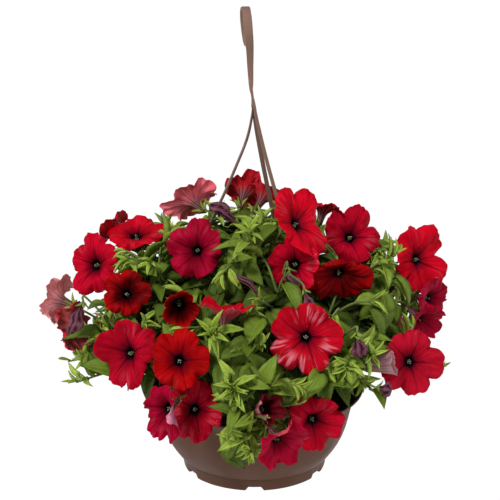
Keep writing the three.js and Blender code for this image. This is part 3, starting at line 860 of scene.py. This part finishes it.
def on_dome(azimuth, rise, reach):
    """A place on the plant's rounded outline, where reach 1 is the outermost."""
    turn, lift = math.radians(azimuth), math.radians(rise)
    flat = DOME_RADIUS * reach * math.cos(lift)
    high = DOME_HEIGHT * reach * math.sin(lift)
    return DOME + Vector((flat * math.cos(turn), flat * math.sin(turn), high)) * MM


def dome_angles(place):
    """The azimuth and rise of a place, in degrees, and its reach."""
    x, y, z = (place - DOME) / MM
    flat, high = math.hypot(x, y) / DOME_RADIUS, z / DOME_HEIGHT
    return math.degrees(math.atan2(y, x)), math.degrees(math.atan2(high, flat)), math.hypot(flat, high)


def tip_of(node):
    """The corner of a CAD piece that lies farthest from the middle of the soil."""
    middle = RIM + Vector((0, 0, -24 * MM))
    corners = [vertex.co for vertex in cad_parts[node].data.vertices]
    return max(corners, key=lambda co: (co - middle).length)


def stem_path(foot, tip, steps=9):
    """A stem's line: up from the soil, over, and out to its tip."""
    shoulder = foot.lerp(tip, 0.3)
    shoulder.z = foot.z + 46 * MM + 0.3 * max(tip.z - RIM.z, 0)
    bend = foot.lerp(tip, 0.7)
    bend.z = (shoulder.z + 2 * tip.z) / 3 + 6 * MM
    return smooth_line([foot, shoulder, bend, tip], steps)


def leaf_shape(name, widths, fold, droop, wave_size):
    """A thin pointed leaf, 1 long and 1 wide along X and Y, creased at its midrib, bent down at its tip."""
    leaf = start_from(name, GRID, x_subdivisions=6, y_subdivisions=4, size=1)
    leaf.data.uv_layers[0].name = "leaf"
    edit_all()
    bpy.ops.mesh.duplicate()
    bpy.ops.mesh.flip_normals()
    bpy.ops.transform.translate(value=(0, 0, -0.02))
    bpy.ops.object.mode_set(mode="OBJECT")
    for vertex in leaf.data.vertices:
        along, side = vertex.co.x + 0.5, vertex.co.y * 2
        inside = along > 0.01 and along < 0.99 and abs(side) < 0.99
        thick = vertex.co.z if inside else 0
        width = float(np.interp(along, np.linspace(0, 1, 7), widths))
        ripple = wave_size * math.sin(along * 9 + side * 2) * abs(side)
        bent = -droop * along**2 + fold * abs(side) * width * 0.5 - 0.12 * side**2 * width * 0.5
        vertex.co = (along - 0.16 * droop * along**2, side * width / 2, bent + ripple + thick)
    edit_all()
    bpy.ops.mesh.remove_doubles(threshold=1e-4)
    bpy.ops.mesh.normals_make_consistent(inside=False)
    bpy.ops.object.mode_set(mode="OBJECT")
    bpy.ops.object.shade_smooth()
    tone = leaf.data.attributes.new("leaf_tone", "FLOAT_COLOR", "POINT")
    for vertex in leaf.data.vertices:
        twins = [other.co.z for other in leaf.data.vertices if (other.co.xy - vertex.co.xy).length < 1e-4]
        tone.data[vertex.index].color = (0, 0, 1 if vertex.co.z < max(twins) - 0.005 else 0, 1)
    return leaf


LANCE = [0.34, 0.7, 0.95, 1.0, 0.84, 0.5, 0.0]
OVAL = [0.16, 0.66, 0.98, 1.0, 0.8, 0.45, 0.0]
LEAF_SHAPES = {
    "young": [leaf_shape("leaf_a", LANCE, 0.6, 0.1, 0.0), leaf_shape("leaf_b", LANCE, 0.45, 0.3, 0.01)],
    "middle": [leaf_shape("leaf_c", LANCE, 0.55, 0.28, 0.015), leaf_shape("leaf_d", OVAL, 0.45, 0.42, 0.02)],
    "broad": [leaf_shape("leaf_e", OVAL, 0.42, 0.3, 0.02), leaf_shape("leaf_f", OVAL, 0.55, 0.5, 0.025)],
}

YOUNG_GREEN, GREEN, OLD_AND_SHADED_GREEN = (0.39, 0.52, 0.075), (0.12, 0.186, 0.012), (0.052, 0.086, 0.006)
CHANCE_GREEN = (0.08, 0.125, 0.002)
MOTTLE_GREEN = (0.03, 0.06, 0.001)
VEIN_GREEN = (0.2, 0.28, 0.025)
UNDERSIDE_GREEN = (0.13, 0.19, 0.03)
EDGE_GREEN = (0.2, 0.28, 0.02)
foliage, places, link = new_finish("foliage", Specular_IOR_Level=0.22)
age_and_shade, fortune, under = places.node("ShaderNodeAttribute", {"attribute_name": "leaf_tone"}).parts()
along, across, _ = places.node("ShaderNodeUVMap", {"uv_map": "leaf"}).parts()
side = ((across - 0.5) * 2).maths("ABSOLUTE")
midrib = side.smooth(0.02, 0.12, 1.0, 0.0) * along.smooth(0.75, 1.0, 1.0, 0.2)
vein = (((along - side * 0.24) * 6.5).maths("FRACT") - 0.5).maths("ABSOLUTE").smooth(0.0, 0.1, 1.0, 0.0)
vein = vein * side.smooth(0.75, 1.0, 1.0, 0.0)
mottle = places.grain(95.0, 3.0)
# Young to old green by the leaf's tone, which holds both its age and painted shade deeper in the plant.
colour = age_and_shade.smooth(0.08, 0.6).mix(YOUNG_GREEN, GREEN)
colour = age_and_shade.smooth(0.45, 0.95).mix(colour, OLD_AND_SHADED_GREEN)
colour = fortune.smooth(0.3, 1.0, 0.0, 0.25).mix(colour, CHANCE_GREEN)
colour = (mottle.smooth(0.4, 0.7) * 0.3).mix(colour, MOTTLE_GREEN)
colour = (vein * 0.16 + midrib * 0.4).maths("MINIMUM", 1.0).mix(colour, VEIN_GREEN)
colour = (under * 0.35).mix(colour, UNDERSIDE_GREEN)
colour = (side.smooth(0.88, 1.0) * 0.35).mix(colour, EDGE_GREEN)
hair = places.grain(700.0)
link(
    Base_Color=colour,
    Roughness=mottle.smooth(0.3, 0.7, 0.5, 0.68),
    bump=mottle * 0.8 + hair * 0.25 - vein * 0.35 - midrib * 0.6,
    bump_height=0.0009,
    bump_strength=0.8,
)
stem_green, places, link = new_finish("stem_green", Specular_IOR_Level=0.3, Sheen_Weight=0.15)
shade = places.grain(45.0).smooth(0.35, 0.7)
link(
    Base_Color=shade.mix((0.085, 0.13, 0.012), (0.15, 0.2, 0.035)),
    Roughness=shade.smooth(0.0, 1.0, 0.55, 0.7),
    bump=places.grain(800.0),
    bump_height=0.0003,
)

luck = np.random.default_rng(17)
bloom_centres = np.array([bloom[0] for bloom in blooms])
bloom_axes = np.array([bloom[1] for bloom in blooms])
bloom_radii = np.array([bloom[2] for bloom in blooms])
show_side = np.array(Vector((0, -1, 0.2)).normalized())
bloom_facing = bloom_axes @ show_side


def from_blooms(spots):
    """How far each spot is ahead of each bloom's face, how far from its axis, and the whole gap."""
    gaps = spots[:, None, :] - bloom_centres[None, :, :]
    along = (gaps * bloom_axes).sum(axis=2)
    return along, np.sqrt(np.maximum((gaps**2).sum(axis=2) - along**2, 0)), gaps


def leaf_fits(points):
    """Whether these places keep clear of the blooms' faces, of the space before them, and of the pot.

    The blooms on the show side stay open to view, as flowers turn out from their leaves to the light. A
    stretch of rim on the right stays bare, and so does the space under the plant's left edge.
    """
    spots = np.array(points)
    along, flat, gaps = from_blooms(spots)
    before_face = (along > -0.013) & (along < 0.05) & (flat < bloom_radii * 0.97)
    in_tube = (along > -0.034) & (along < 0) & (flat < 0.012)
    ahead_of = along / np.maximum(bloom_facing, 0.1)
    beside = np.linalg.norm(gaps - ahead_of[:, :, None] * show_side, axis=2)
    in_view = (bloom_facing > 0.1) & (ahead_of > 0) & (ahead_of < 0.2) & (beside < bloom_radii * 0.95)
    if (before_face | in_tube | in_view).any():
        return False
    away = np.hypot(spots[:, 0] - RIM.x, spots[:, 1] - RIM.y)
    high = spots[:, 2] - RIM.z
    turn = np.degrees(np.arctan2(spots[:, 1] - RIM.y, spots[:, 0] - RIM.x))
    bare_from = np.where(turn < -38, 0.128, 0.112)
    over_bare_rim = (turn > -62) & (turn < 8) & (high < 0.045) & (away > bare_from)
    in_pot = (high < 0.003) & (away < 0.13)
    on_left = (turn < -114) | (turn > 166)
    below_left = on_left & (((high < 0.045) & (away > 0.162)) | ((high < -0.002) & (away > 0.14)))
    return not (in_pot | over_bare_rim | below_left).any()


def leaf_copy(kind, base, heading, face, length, width, tone):
    """A leaf copied from its shape: its foot at base, along heading, its upper side towards face."""
    across = face.cross(heading).normalized()
    top = heading.cross(across).normalized()
    shape = LEAF_SHAPES[kind][int(luck.integers(2))]
    leaf = shape.copy()
    leaf.data = shape.data.copy()
    bpy.context.collection.objects.link(leaf)
    turned = Matrix((heading * length, across * width, top * length)).transposed().to_4x4()
    leaf.data.transform(Matrix.Translation(base) @ turned)
    tones = np.zeros(4 * len(leaf.data.vertices), dtype=np.float32)
    leaf.data.attributes["leaf_tone"].data.foreach_get("color", tones)
    tones[0::4] = tone
    tones[1::4] = luck.random()
    leaf.data.attributes["leaf_tone"].data.foreach_set("color", tones)
    return leaf


def leaf_at(kind, base, heading, face, length, width, tone):
    """The same, or nothing where the leaf would be in the way."""
    side = face.cross(heading).normalized() * width * 0.4
    middle = base + heading * length * 0.55
    if not leaf_fits([middle, middle + side, middle - side, base + heading * length]):
        return None
    return leaf_copy(kind, base, heading, face, length, width, tone)


def walk(path, share):
    """The place and the heading at a share of a line's length."""
    steps = np.array([(b - a).length for a, b in zip(path, path[1:])])
    marks = np.concatenate([[0], np.cumsum(steps)])
    goal = share * marks[-1]
    index = min(int(np.searchsorted(marks, goal, side="right")) - 1, len(steps) - 1)
    part = (goal - marks[index]) / steps[index]
    return path[index].lerp(path[index + 1], part), (path[index + 1] - path[index]).normalized()


def length_of(path):
    return sum((b - a).length for a, b in zip(path, path[1:]))


def stem(name, line, start_width, end_width, sides=7):
    """A round tapering stem along a line."""

    def outline(share):
        wide = (start_width + (end_width - start_width) * share) * MM
        return [(x * wide, y * wide) for x, y in round_section(sides)]

    piece = skin(name, section_rings(line, Vector((0.31, 0.93, 0.2)), outline))
    piece.data.uv_layers[0].name = "leaf"
    piece.data.materials.append(stem_green)
    return piece


# How a leaf grows by its distance from the stem's tip in millimetres: its length, its width as a share of it,
# its angle from the stem, its age (0 is young, 1 is old), and the way along the stem to the next leaf.
LEAF_LENGTHS = ([0, 6, 16, 34, 60, 110], [16, 23, 32, 44, 52, 48])
LEAF_WIDTHS = ([0, 8, 20, 40, 70], [0.18, 0.21, 0.31, 0.45, 0.53])
LEAF_ANGLES = ([0, 5, 16, 40, 80], [20, 44, 60, 70, 78])
LEAF_AGES = ([0, 12, 28, 55, 90], [0.0, 0.12, 0.45, 0.78, 1.0])
LEAF_GAPS = ([0, 8, 25, 60, 110], [0.9, 1.6, 4.4, 9.0, 13.0])
LEAF_TURN = 137.5


def leaves_along(path, first, size):
    """Leaves spiralling up a stem from the share first to its tip, where they crowd into a rosette."""
    made = []
    reach = length_of(path) / MM
    turn = luck.uniform(0, 6.28)
    share = first
    while share < 1.0:
        left = (1 - share) * reach
        place, ahead = walk(path, share)
        spot = dome_angles(place)[2]
        length = float(np.interp(left, *LEAF_LENGTHS)) * size * luck.uniform(0.85, 1.15)
        slim = float(np.interp(left, *LEAF_WIDTHS)) * luck.uniform(0.9, 1.1)
        spread = float(np.interp(left, *LEAF_ANGLES)) + luck.uniform(-9, 9)
        tone = float(np.interp(left, *LEAF_AGES)) + luck.uniform(-0.08, 0.1)
        # Leaves that sit deeper inside the plant are pushed towards the old dark green: painted shade.
        tone = min(max(tone + max(0.86 - spot, 0) * 1.6, 0.0), 1.0)
        kind = "young" if left < 14 else "middle" if left < 38 else "broad"
        side = ahead.orthogonal().normalized()
        side.rotate(Quaternion(ahead, turn))
        spin = math.radians(spread)
        heading = (ahead * math.cos(spin) + side * math.sin(spin)).normalized()
        heading = (heading + up * 0.12).normalized()
        outward = (place - DOME).normalized()
        face = ahead * 0.75 + up * 0.6 + outward * 0.35 - side * 0.25
        leaf = leaf_at(kind, place + side * 1.2 * MM, heading, face, length * MM, length * slim * MM, tone)
        if leaf:
            made.append(leaf)
        turn += math.radians(LEAF_TURN + luck.uniform(-14, 14))
        share += float(np.interp(left, *LEAF_GAPS)) / reach
    return made


ROOT_RADIUS = 92
branches = []
for index, start in enumerate(BRANCH_STARTS, start=1):
    tip = tip_of(f"branch_{index:02d}")
    azimuth = math.atan2(tip.y - RIM.y, tip.x - RIM.x)
    out = ROOT_RADIUS * start
    foot = RIM + Vector((out * math.cos(azimuth), out * math.sin(azimuth), -22 + 7 * (1 - start))) * MM
    path = stem_path(foot, tip)
    pieces = [stem(f"stem_{index:02d}", path, 2.1, 1.1)]
    pieces += leaves_along(path, 0.34, 1.0)
    branches.append((path, pieces))

# Side shoots spread evenly over the plant, each from the nearest of the stems. The chosen tips come first, as
# azimuth, rise and reach. The even ones keep away from them and from the old leaves on the right shoulder.
CHOSEN_TIPS = [
    (-58, 86, 1.02), (122, 70, 1.0), (175, 45, 1.02), (-154, 52, 1.0), (-166, 46, 1.02), (-97, 8, 1.03),
    (-91, -18, 1.08), (-77, 9, 1.0), (-61, 12, 0.98), (-8, 44, 1.0), (17, 38, 1.03), (60, 74, 1.02),
    (-86, -2, 1.06),
]
EVEN_TIPS = 84
GOLDEN_ANGLE = 137.508
TIP_GAP = 22 * MM
LONGEST_SHOOT = 130
tips = [on_dome(*place) for place in CHOSEN_TIPS]
for index in range(EVEN_TIPS):
    rise = math.degrees(math.asin(-0.3 + 1.28 * (index + 0.5) / EVEN_TIPS))
    azimuth = index * GOLDEN_ANGLE + luck.uniform(14, 26)
    tip = on_dome(azimuth, rise + luck.uniform(-4, 4), luck.uniform(0.86, 0.97))
    if min((tip - other).length for other in tips) > TIP_GAP:
        tips.append(tip)
for index, tip in enumerate(tips, start=1):
    azimuth, rise, _ = dome_angles(tip)
    among_old_leaves = -52 < azimuth < -12 and 17 < rise < 42
    if index > len(CHOSEN_TIPS) and (among_old_leaves or not leaf_fits([tip])):
        continue
    best = None
    for path, pieces in branches:
        for share in (0.45, 0.55, 0.65, 0.75):
            place, ahead = walk(path, share)
            gap = (tip - place).length / MM
            cost = abs(gap - 55) + 40 * max(0, 0.3 - (tip - place).normalized().dot(ahead))
            if best is None or cost < best[0]:
                best = (cost, place, ahead, pieces, gap)
    _, place, ahead, pieces, gap = best
    if gap > LONGEST_SHOOT:
        continue
    bend = place.lerp(tip, 0.5) + ahead * gap * 0.12 * MM + up * 5 * MM
    path = smooth_line([place, bend, tip], 7)
    pieces.append(stem(f"shoot_{index:02d}", path, 1.5, 0.9, 6))
    pieces += leaves_along(path, 0.22, 0.92)

# Low shoots hang over the pot's rim, but for a bare stretch on its right.
LOW_SHOOTS = 34
for index in range(LOW_SHOOTS):
    azimuth = (index * 360 / LOW_SHOOTS + luck.uniform(-5, 5)) % 360
    tip = on_dome(azimuth, luck.uniform(-34, -12), luck.uniform(0.86, 0.97))
    over_bare_rim = azimuth > 292 or azimuth < 4
    if over_bare_rim or not leaf_fits([tip]):
        continue
    outward = Vector(pointing(azimuth, 0))
    foot = RIM + (outward * 70 - up * 20) * MM
    crest = RIM + (outward * 112 + up * luck.uniform(24, 40)) * MM
    path = smooth_line([foot, crest, crest.lerp(tip, 0.6) + outward * 12 * MM, tip], 7)
    pieces = min(branches, key=lambda item: (item[0][-1] - tip).length)[1]
    pieces.append(stem(f"low_shoot_{index:02d}", path, 1.6, 0.9, 6))
    pieces += leaves_along(path, 0.35, 0.9)


def hang_on_nearest(leaf, base):
    """The leaf joins the branch whose stem passes closest to its foot."""
    nearest = min(branches, key=lambda item: min((point - base).length for point in item[0]))
    nearest[1].append(leaf)


# Broad leaves that droop over the younger growth: azimuth, rise and reach of the foot, then the way the
# leaf points, its length and its age.
BROAD_WIDTH = 0.52
DROOPING_LEAVES = [
    (-97, -9, 0.97, -128, -64, 34, 0.35), (-97, -8, 0.98, -75, -64, 31, 0.4),
    (-101, -22, 0.93, -40, -45, 40, 0.85), (-93, -13, 0.96, -65, -62, 34, 0.5),
    (-98, -14, 0.94, -100, -68, 35, 0.6), (-94, -18, 0.93, -80, -66, 34, 0.75),
    (-100, 73, 1.0, -45, -30, 40, 0.45), (-100, 73, 0.99, -135, -35, 38, 0.5),
    (-97, 70, 0.98, -90, -45, 40, 0.65), (-84, 61, 0.97, -40, -45, 40, 0.8),
    (-101, 64, 0.97, -120, -50, 41, 0.85), (-88, 60, 0.97, -80, -55, 38, 0.75),
    (-8, 47, 0.99, -60, -25, 40, 0.4), (-10, 39, 0.98, -20, -45, 44, 0.5),
    (-28, 38, 0.97, -60, -50, 44, 0.65), (-12, 32, 0.96, -40, -60, 42, 0.7),
    (-47, 40, 0.96, -95, -20, 34, 0.55), (-41, 34, 0.96, -30, -50, 40, 0.75),
    (-36, 28, 0.95, -80, -45, 42, 0.8), (-88, 9, 0.95, -45, 64, 36, 0.5),
    (-90, 19, 0.94, -120, -40, 38, 0.6), (-100, 18, 0.93, -100, -30, 38, 0.75),
    (-94, 18, 0.93, -90, -35, 42, 0.9), (-91, 26, 0.94, -140, 5, 40, 0.8),
    (-42, -12, 0.52, -35, -50, 36, 0.4), (-30, -14, 0.5, -75, -48, 34, 0.35),
    (-50, -12, 0.55, -25, -42, 34, 0.5), (-36, -6, 0.54, -50, -60, 38, 0.6),
    (-152, -10, 0.78, -120, -72, 36, 0.8), (-160, -12, 0.76, -150, -66, 34, 0.9),
]
for azimuth, rise, reach, turn, lift, length, tone in DROOPING_LEAVES:
    base = on_dome(azimuth, rise, reach)
    heading = Vector(pointing(turn, lift))
    face = (base - DOME).normalized() + up * 0.6
    leaf = leaf_at("broad", base, heading, face, length * MM, length * BROAD_WIDTH * MM, tone)
    if leaf:
        hang_on_nearest(leaf, base)

# Broad old leaves fill the shade inside the plant, their green darker the deeper they sit: painted shade.
INNER_LEAVES = 500
for index in range(INNER_LEAVES):
    azimuth = luck.uniform(-180, 180)
    rise = math.degrees(math.asin(luck.uniform(-0.18, 0.97)))
    depth = luck.uniform(0.5, 0.92)
    base = on_dome(azimuth, rise, depth)
    outward = (base - DOME).normalized()
    heading = (outward * 0.7 + Vector(luck.uniform(-1, 1, 3)) * 0.8 - up * 0.15).normalized()
    face = up + outward * 0.6 + Vector(luck.uniform(-1, 1, 3)) * 0.35
    length = luck.uniform(36, 52)
    tone = luck.uniform(1.3, 1.6) - depth
    leaf = leaf_at("broad", base, heading, face, length * MM, length * 0.54 * MM, tone)
    if leaf:
        hang_on_nearest(leaf, base)


def grown_piece(name, pieces, slot, *nodes):
    """Stems, leaves and what else has grown together, as one piece. What has no finish yet is foliage."""
    for piece in pieces:
        if len(piece.data.materials) == 0:
            piece.data.materials.append(foliage)
    grown = joined(name, pieces)
    bpy.ops.object.shade_smooth()
    stands_for(grown, slot, *nodes)


for index, (_, pieces) in enumerate(branches, start=1):
    grown_piece(f"branch_{index:02d}_leaves", pieces, "foliage", f"branch_{index:02d}")


# ---------------------------------------------------------------------------------------------
# The flower stalks: each carries a bloom from the nearest stem, with a calyx of five narrow green
# sepals round the tube's foot, and inside the throat five pale anthers round a green stigma.
def ball(place, size, finish):
    """A small round head for an anther or the stigma."""
    sphere = bpy.ops.mesh.primitive_ico_sphere_add
    piece = start_from("ball", sphere, subdivisions=1, radius=size * MM, location=place)
    piece.data.uv_layers[0].name = "leaf"
    piece.data.materials.append(finish)
    return piece


def around_axis(axis, degrees):
    """The direction straight out from an axis, turned about it."""
    side = axis.orthogonal().normalized()
    side.rotate(Quaternion(axis, math.radians(degrees)))
    return side


def calyx(foot, axis, length, spread):
    """Five narrow sepals round the foot of a tube."""
    made = []
    for index in range(5):
        side = around_axis(axis, index * 72 + luck.uniform(-9, 9))
        lean = math.radians(spread + luck.uniform(-8, 8))
        heading = axis * math.cos(lean) + side * math.sin(lean)
        reach = length * luck.uniform(0.85, 1.15) * MM
        sepal = leaf_copy("young", foot + side * 1.6 * MM, heading, axis * 0.2 - side, reach, 3.8 * MM, 0.3)
        made.append(sepal)
    return made


def clear_stem(start, aim):
    """The point on any stem closest to aim that a stalk from start reaches without crossing a bloom."""
    points = [point for path, pieces in branches for point in path]
    points.sort(key=lambda point: (point - aim).length)
    shares = np.linspace(0.1, 0.9, 9)[:, None]
    for point in points[:150]:
        along, flat, _ = from_blooms(np.array(start) * (1 - shares) + np.array(point) * shares)
        if not ((along > -0.022) & (along < 0.012) & (flat < bloom_radii * 1.1)).any():
            return point
    return points[0]


anther, places, link = new_finish("anther", Specular_IOR_Level=0.2)
powder = places.grain(600.0)
link(
    Base_Color=powder.smooth(0.3, 0.7).mix((0.13, 0.12, 0.07), (0.33, 0.3, 0.24)),
    Roughness=powder.smooth(0.0, 1.0, 0.7, 0.9),
    bump=powder,
    bump_height=0.0004,
)
ANTHERS = 5
SEPAL_LENGTH = 17.0
SHORT_SEPALS = {12: 6.0}
for index, (centre, axis, _, dish) in enumerate(blooms, start=1):
    foot = centre - axis * TUBE_LENGTH * MM
    bend = foot - axis * 7 * MM
    end = clear_stem(bend, foot.lerp(DOME, 0.3))
    middle = bend.lerp(end, 0.5) + (DOME - bend).normalized() * 6 * MM
    pieces = [stem(f"stalk_{index:02d}", smooth_line([foot + axis * MM, bend, middle, end], 5), 1.5, 1.1, 6)]
    pieces += calyx(foot - axis * 1.5 * MM, axis, SHORT_SEPALS.get(index, SEPAL_LENGTH), 30)
    for number in range(ANTHERS):
        side = around_axis(axis, number * 360 / ANTHERS)
        depth = 13.0 + luck.uniform(0, 4) + dish * 0.6
        head = centre - axis * depth * MM + side * luck.uniform(1.0, 2.2) * MM
        pieces.append(stem("filament", [foot + axis * 10 * MM + side * 0.8 * MM, head], 0.3, 0.3, 4))
        pieces.append(ball(head, 0.85, anther))
    stigma = centre - axis * (11.0 + dish * 0.6) * MM
    pieces.append(stem("style", [foot + axis * 8 * MM, stigma], 0.4, 0.4, 4))
    pieces.append(ball(stigma, 1.1, stem_green))
    grown_piece(f"stalk_{index:02d}", pieces, "foliage", f"flower_{index:02d}")


# ---------------------------------------------------------------------------------------------
# Buds and spent blooms: furled purple-grey tubes about to open, and dark shrivelled ones past it,
# each in its own green calyx on a short stalk.
def furled_finish(name, rib, furrow, blotch):
    """Furled petal: ribs running along the tube, darker furrows, and fine hair."""
    finish, places, link = new_finish(name, Specular_IOR_Level=0.03)
    around, along, _ = places.node("ShaderNodeUVMap", {"uv_map": "leaf"}).parts()
    twist = (around * 5 + along * 0.7 + (places.grain(90.0) - 0.5) * 0.3).maths("FRACT") - 0.5
    ridge = twist.maths("ABSOLUTE").smooth(0.08, 0.4)
    colour = ridge.mix(furrow, rib)
    colour = (places.grain(120.0, 3.0).smooth(0.45, 0.7) * 0.7).mix(colour, blotch)
    link(
        Base_Color=colour,
        Roughness=ridge.smooth(0.0, 1.0, 0.8, 0.6),
        bump=ridge + places.grain(500.0) * 0.4,
        bump_height=0.0008,
    )
    return finish


bud_finish = furled_finish("petal_furled", (0.17, 0.075, 0.085), (0.035, 0.01, 0.02), (0.1, 0.055, 0.035))
spent_finish = furled_finish("petal_spent", (0.13, 0.045, 0.07), (0.03, 0.006, 0.016), (0.2, 0.08, 0.09))
# The half widths of a bud and of a spent bloom, from foot to tip.
BUD_SHAPE = [2.0, 1.9, 2.0, 2.2, 2.6, 3.2, 3.7, 3.4, 2.4, 0.5]
SPENT_SHAPE = [2.0, 2.2, 2.6, 3.4, 5.0, 6.6, 7.4, 6.8, 5.6, 2.5]
FURLED_ROWS = 28
FURLED_SIDES = 20


def furled(name, foot, axis, length, shape, crumple, finish, seed):
    """A closed tube of petals standing on foot, with five furrows winding round it."""
    rings = []
    first = axis.orthogonal().normalized()
    second = axis.cross(first)
    for row in range(FURLED_ROWS):
        share = row / (FURLED_ROWS - 1)
        wide = float(np.interp(share, np.linspace(0, 1, len(shape)), shape))
        bow = Vector(wave([share * 2.2], [seed], [0.0], seed).tolist() * 3) * length * 0.14 * share
        ring = []
        for step in range(FURLED_SIDES):
            turn = step / FURLED_SIDES * 2 * math.pi
            furrow = 1 + 0.16 * math.cos(5 * turn + 4.4 * share) * min(share * 3, 1)
            spot = Vector((math.cos(turn) * 1.6, math.sin(turn) * 1.6, share * 5 + seed))
            furrow += crumple * noise.noise(spot) * share
            out = (first * math.cos(turn) + second * math.sin(turn)) * wide * furrow
            ring.append(foot + (axis * length * share + out + bow) * MM)
        rings.append(ring)
    piece = skin(name, rings)
    piece.data.uv_layers[0].name = "leaf"
    piece.data.materials.append(finish)
    return piece


# Azimuth, rise and reach of each foot on the dome, then the way it points, its length, and its kind. Each
# kind has its shape, how crumpled it is, its finish, and the length and spread of its sepals.
FURLED = [
    (-87, 46, 0.93, -160, 48, 42, "bud"), (-158, 27, 1.1, -150, -62, 36, "spent"),
    (-66, 62, 0.9, -70, -50, 28, "spent"), (-63, 50, 0.88, -60, -60, 24, "spent"),
    (-56, 27, 1.04, -60, -70, 27, "spent"), (-51, 2, 1.0, -20, -10, 16, "spent"),
    (-150, 84, 1.0, 160, 36, 38, "spent"), (60, 50, 0.98, 80, 50, 34, "bud"),
    (152, 24, 1.0, 160, 20, 30, "bud"), (84, -6, 1.0, 90, -40, 28, "spent"),
]
KINDS = {"bud": (BUD_SHAPE, 0.12, bud_finish, 15.0, 24), "spent": (SPENT_SHAPE, 0.75, spent_finish, 10.0, 36)}
for index, (azimuth, rise, reach, turn, lift, length, kind) in enumerate(FURLED, start=1):
    foot = on_dome(azimuth, rise, reach)
    axis = Vector(pointing(turn, lift))
    end = clear_stem(foot - axis * 8 * MM, foot.lerp(DOME, 0.4))
    bend = (foot - axis * 8 * MM).lerp(end, 0.6)
    line = smooth_line([foot + axis * MM, foot - axis * 6 * MM, bend, end], 4)
    shape, crumple, finish, sepal, spread = KINDS[kind]
    pieces = [furled("tube", foot, axis, length, shape, crumple, finish, index)]
    pieces.append(stem("stalk", line, 1.3, 1.1, 6))
    pieces += calyx(foot - axis * MM, axis, sepal, spread)
    grown_piece(f"{kind}_{index:02d}", pieces, "petals")
for shapes in LEAF_SHAPES.values():
    for shape in shapes:
        bpy.data.objects.remove(shape)
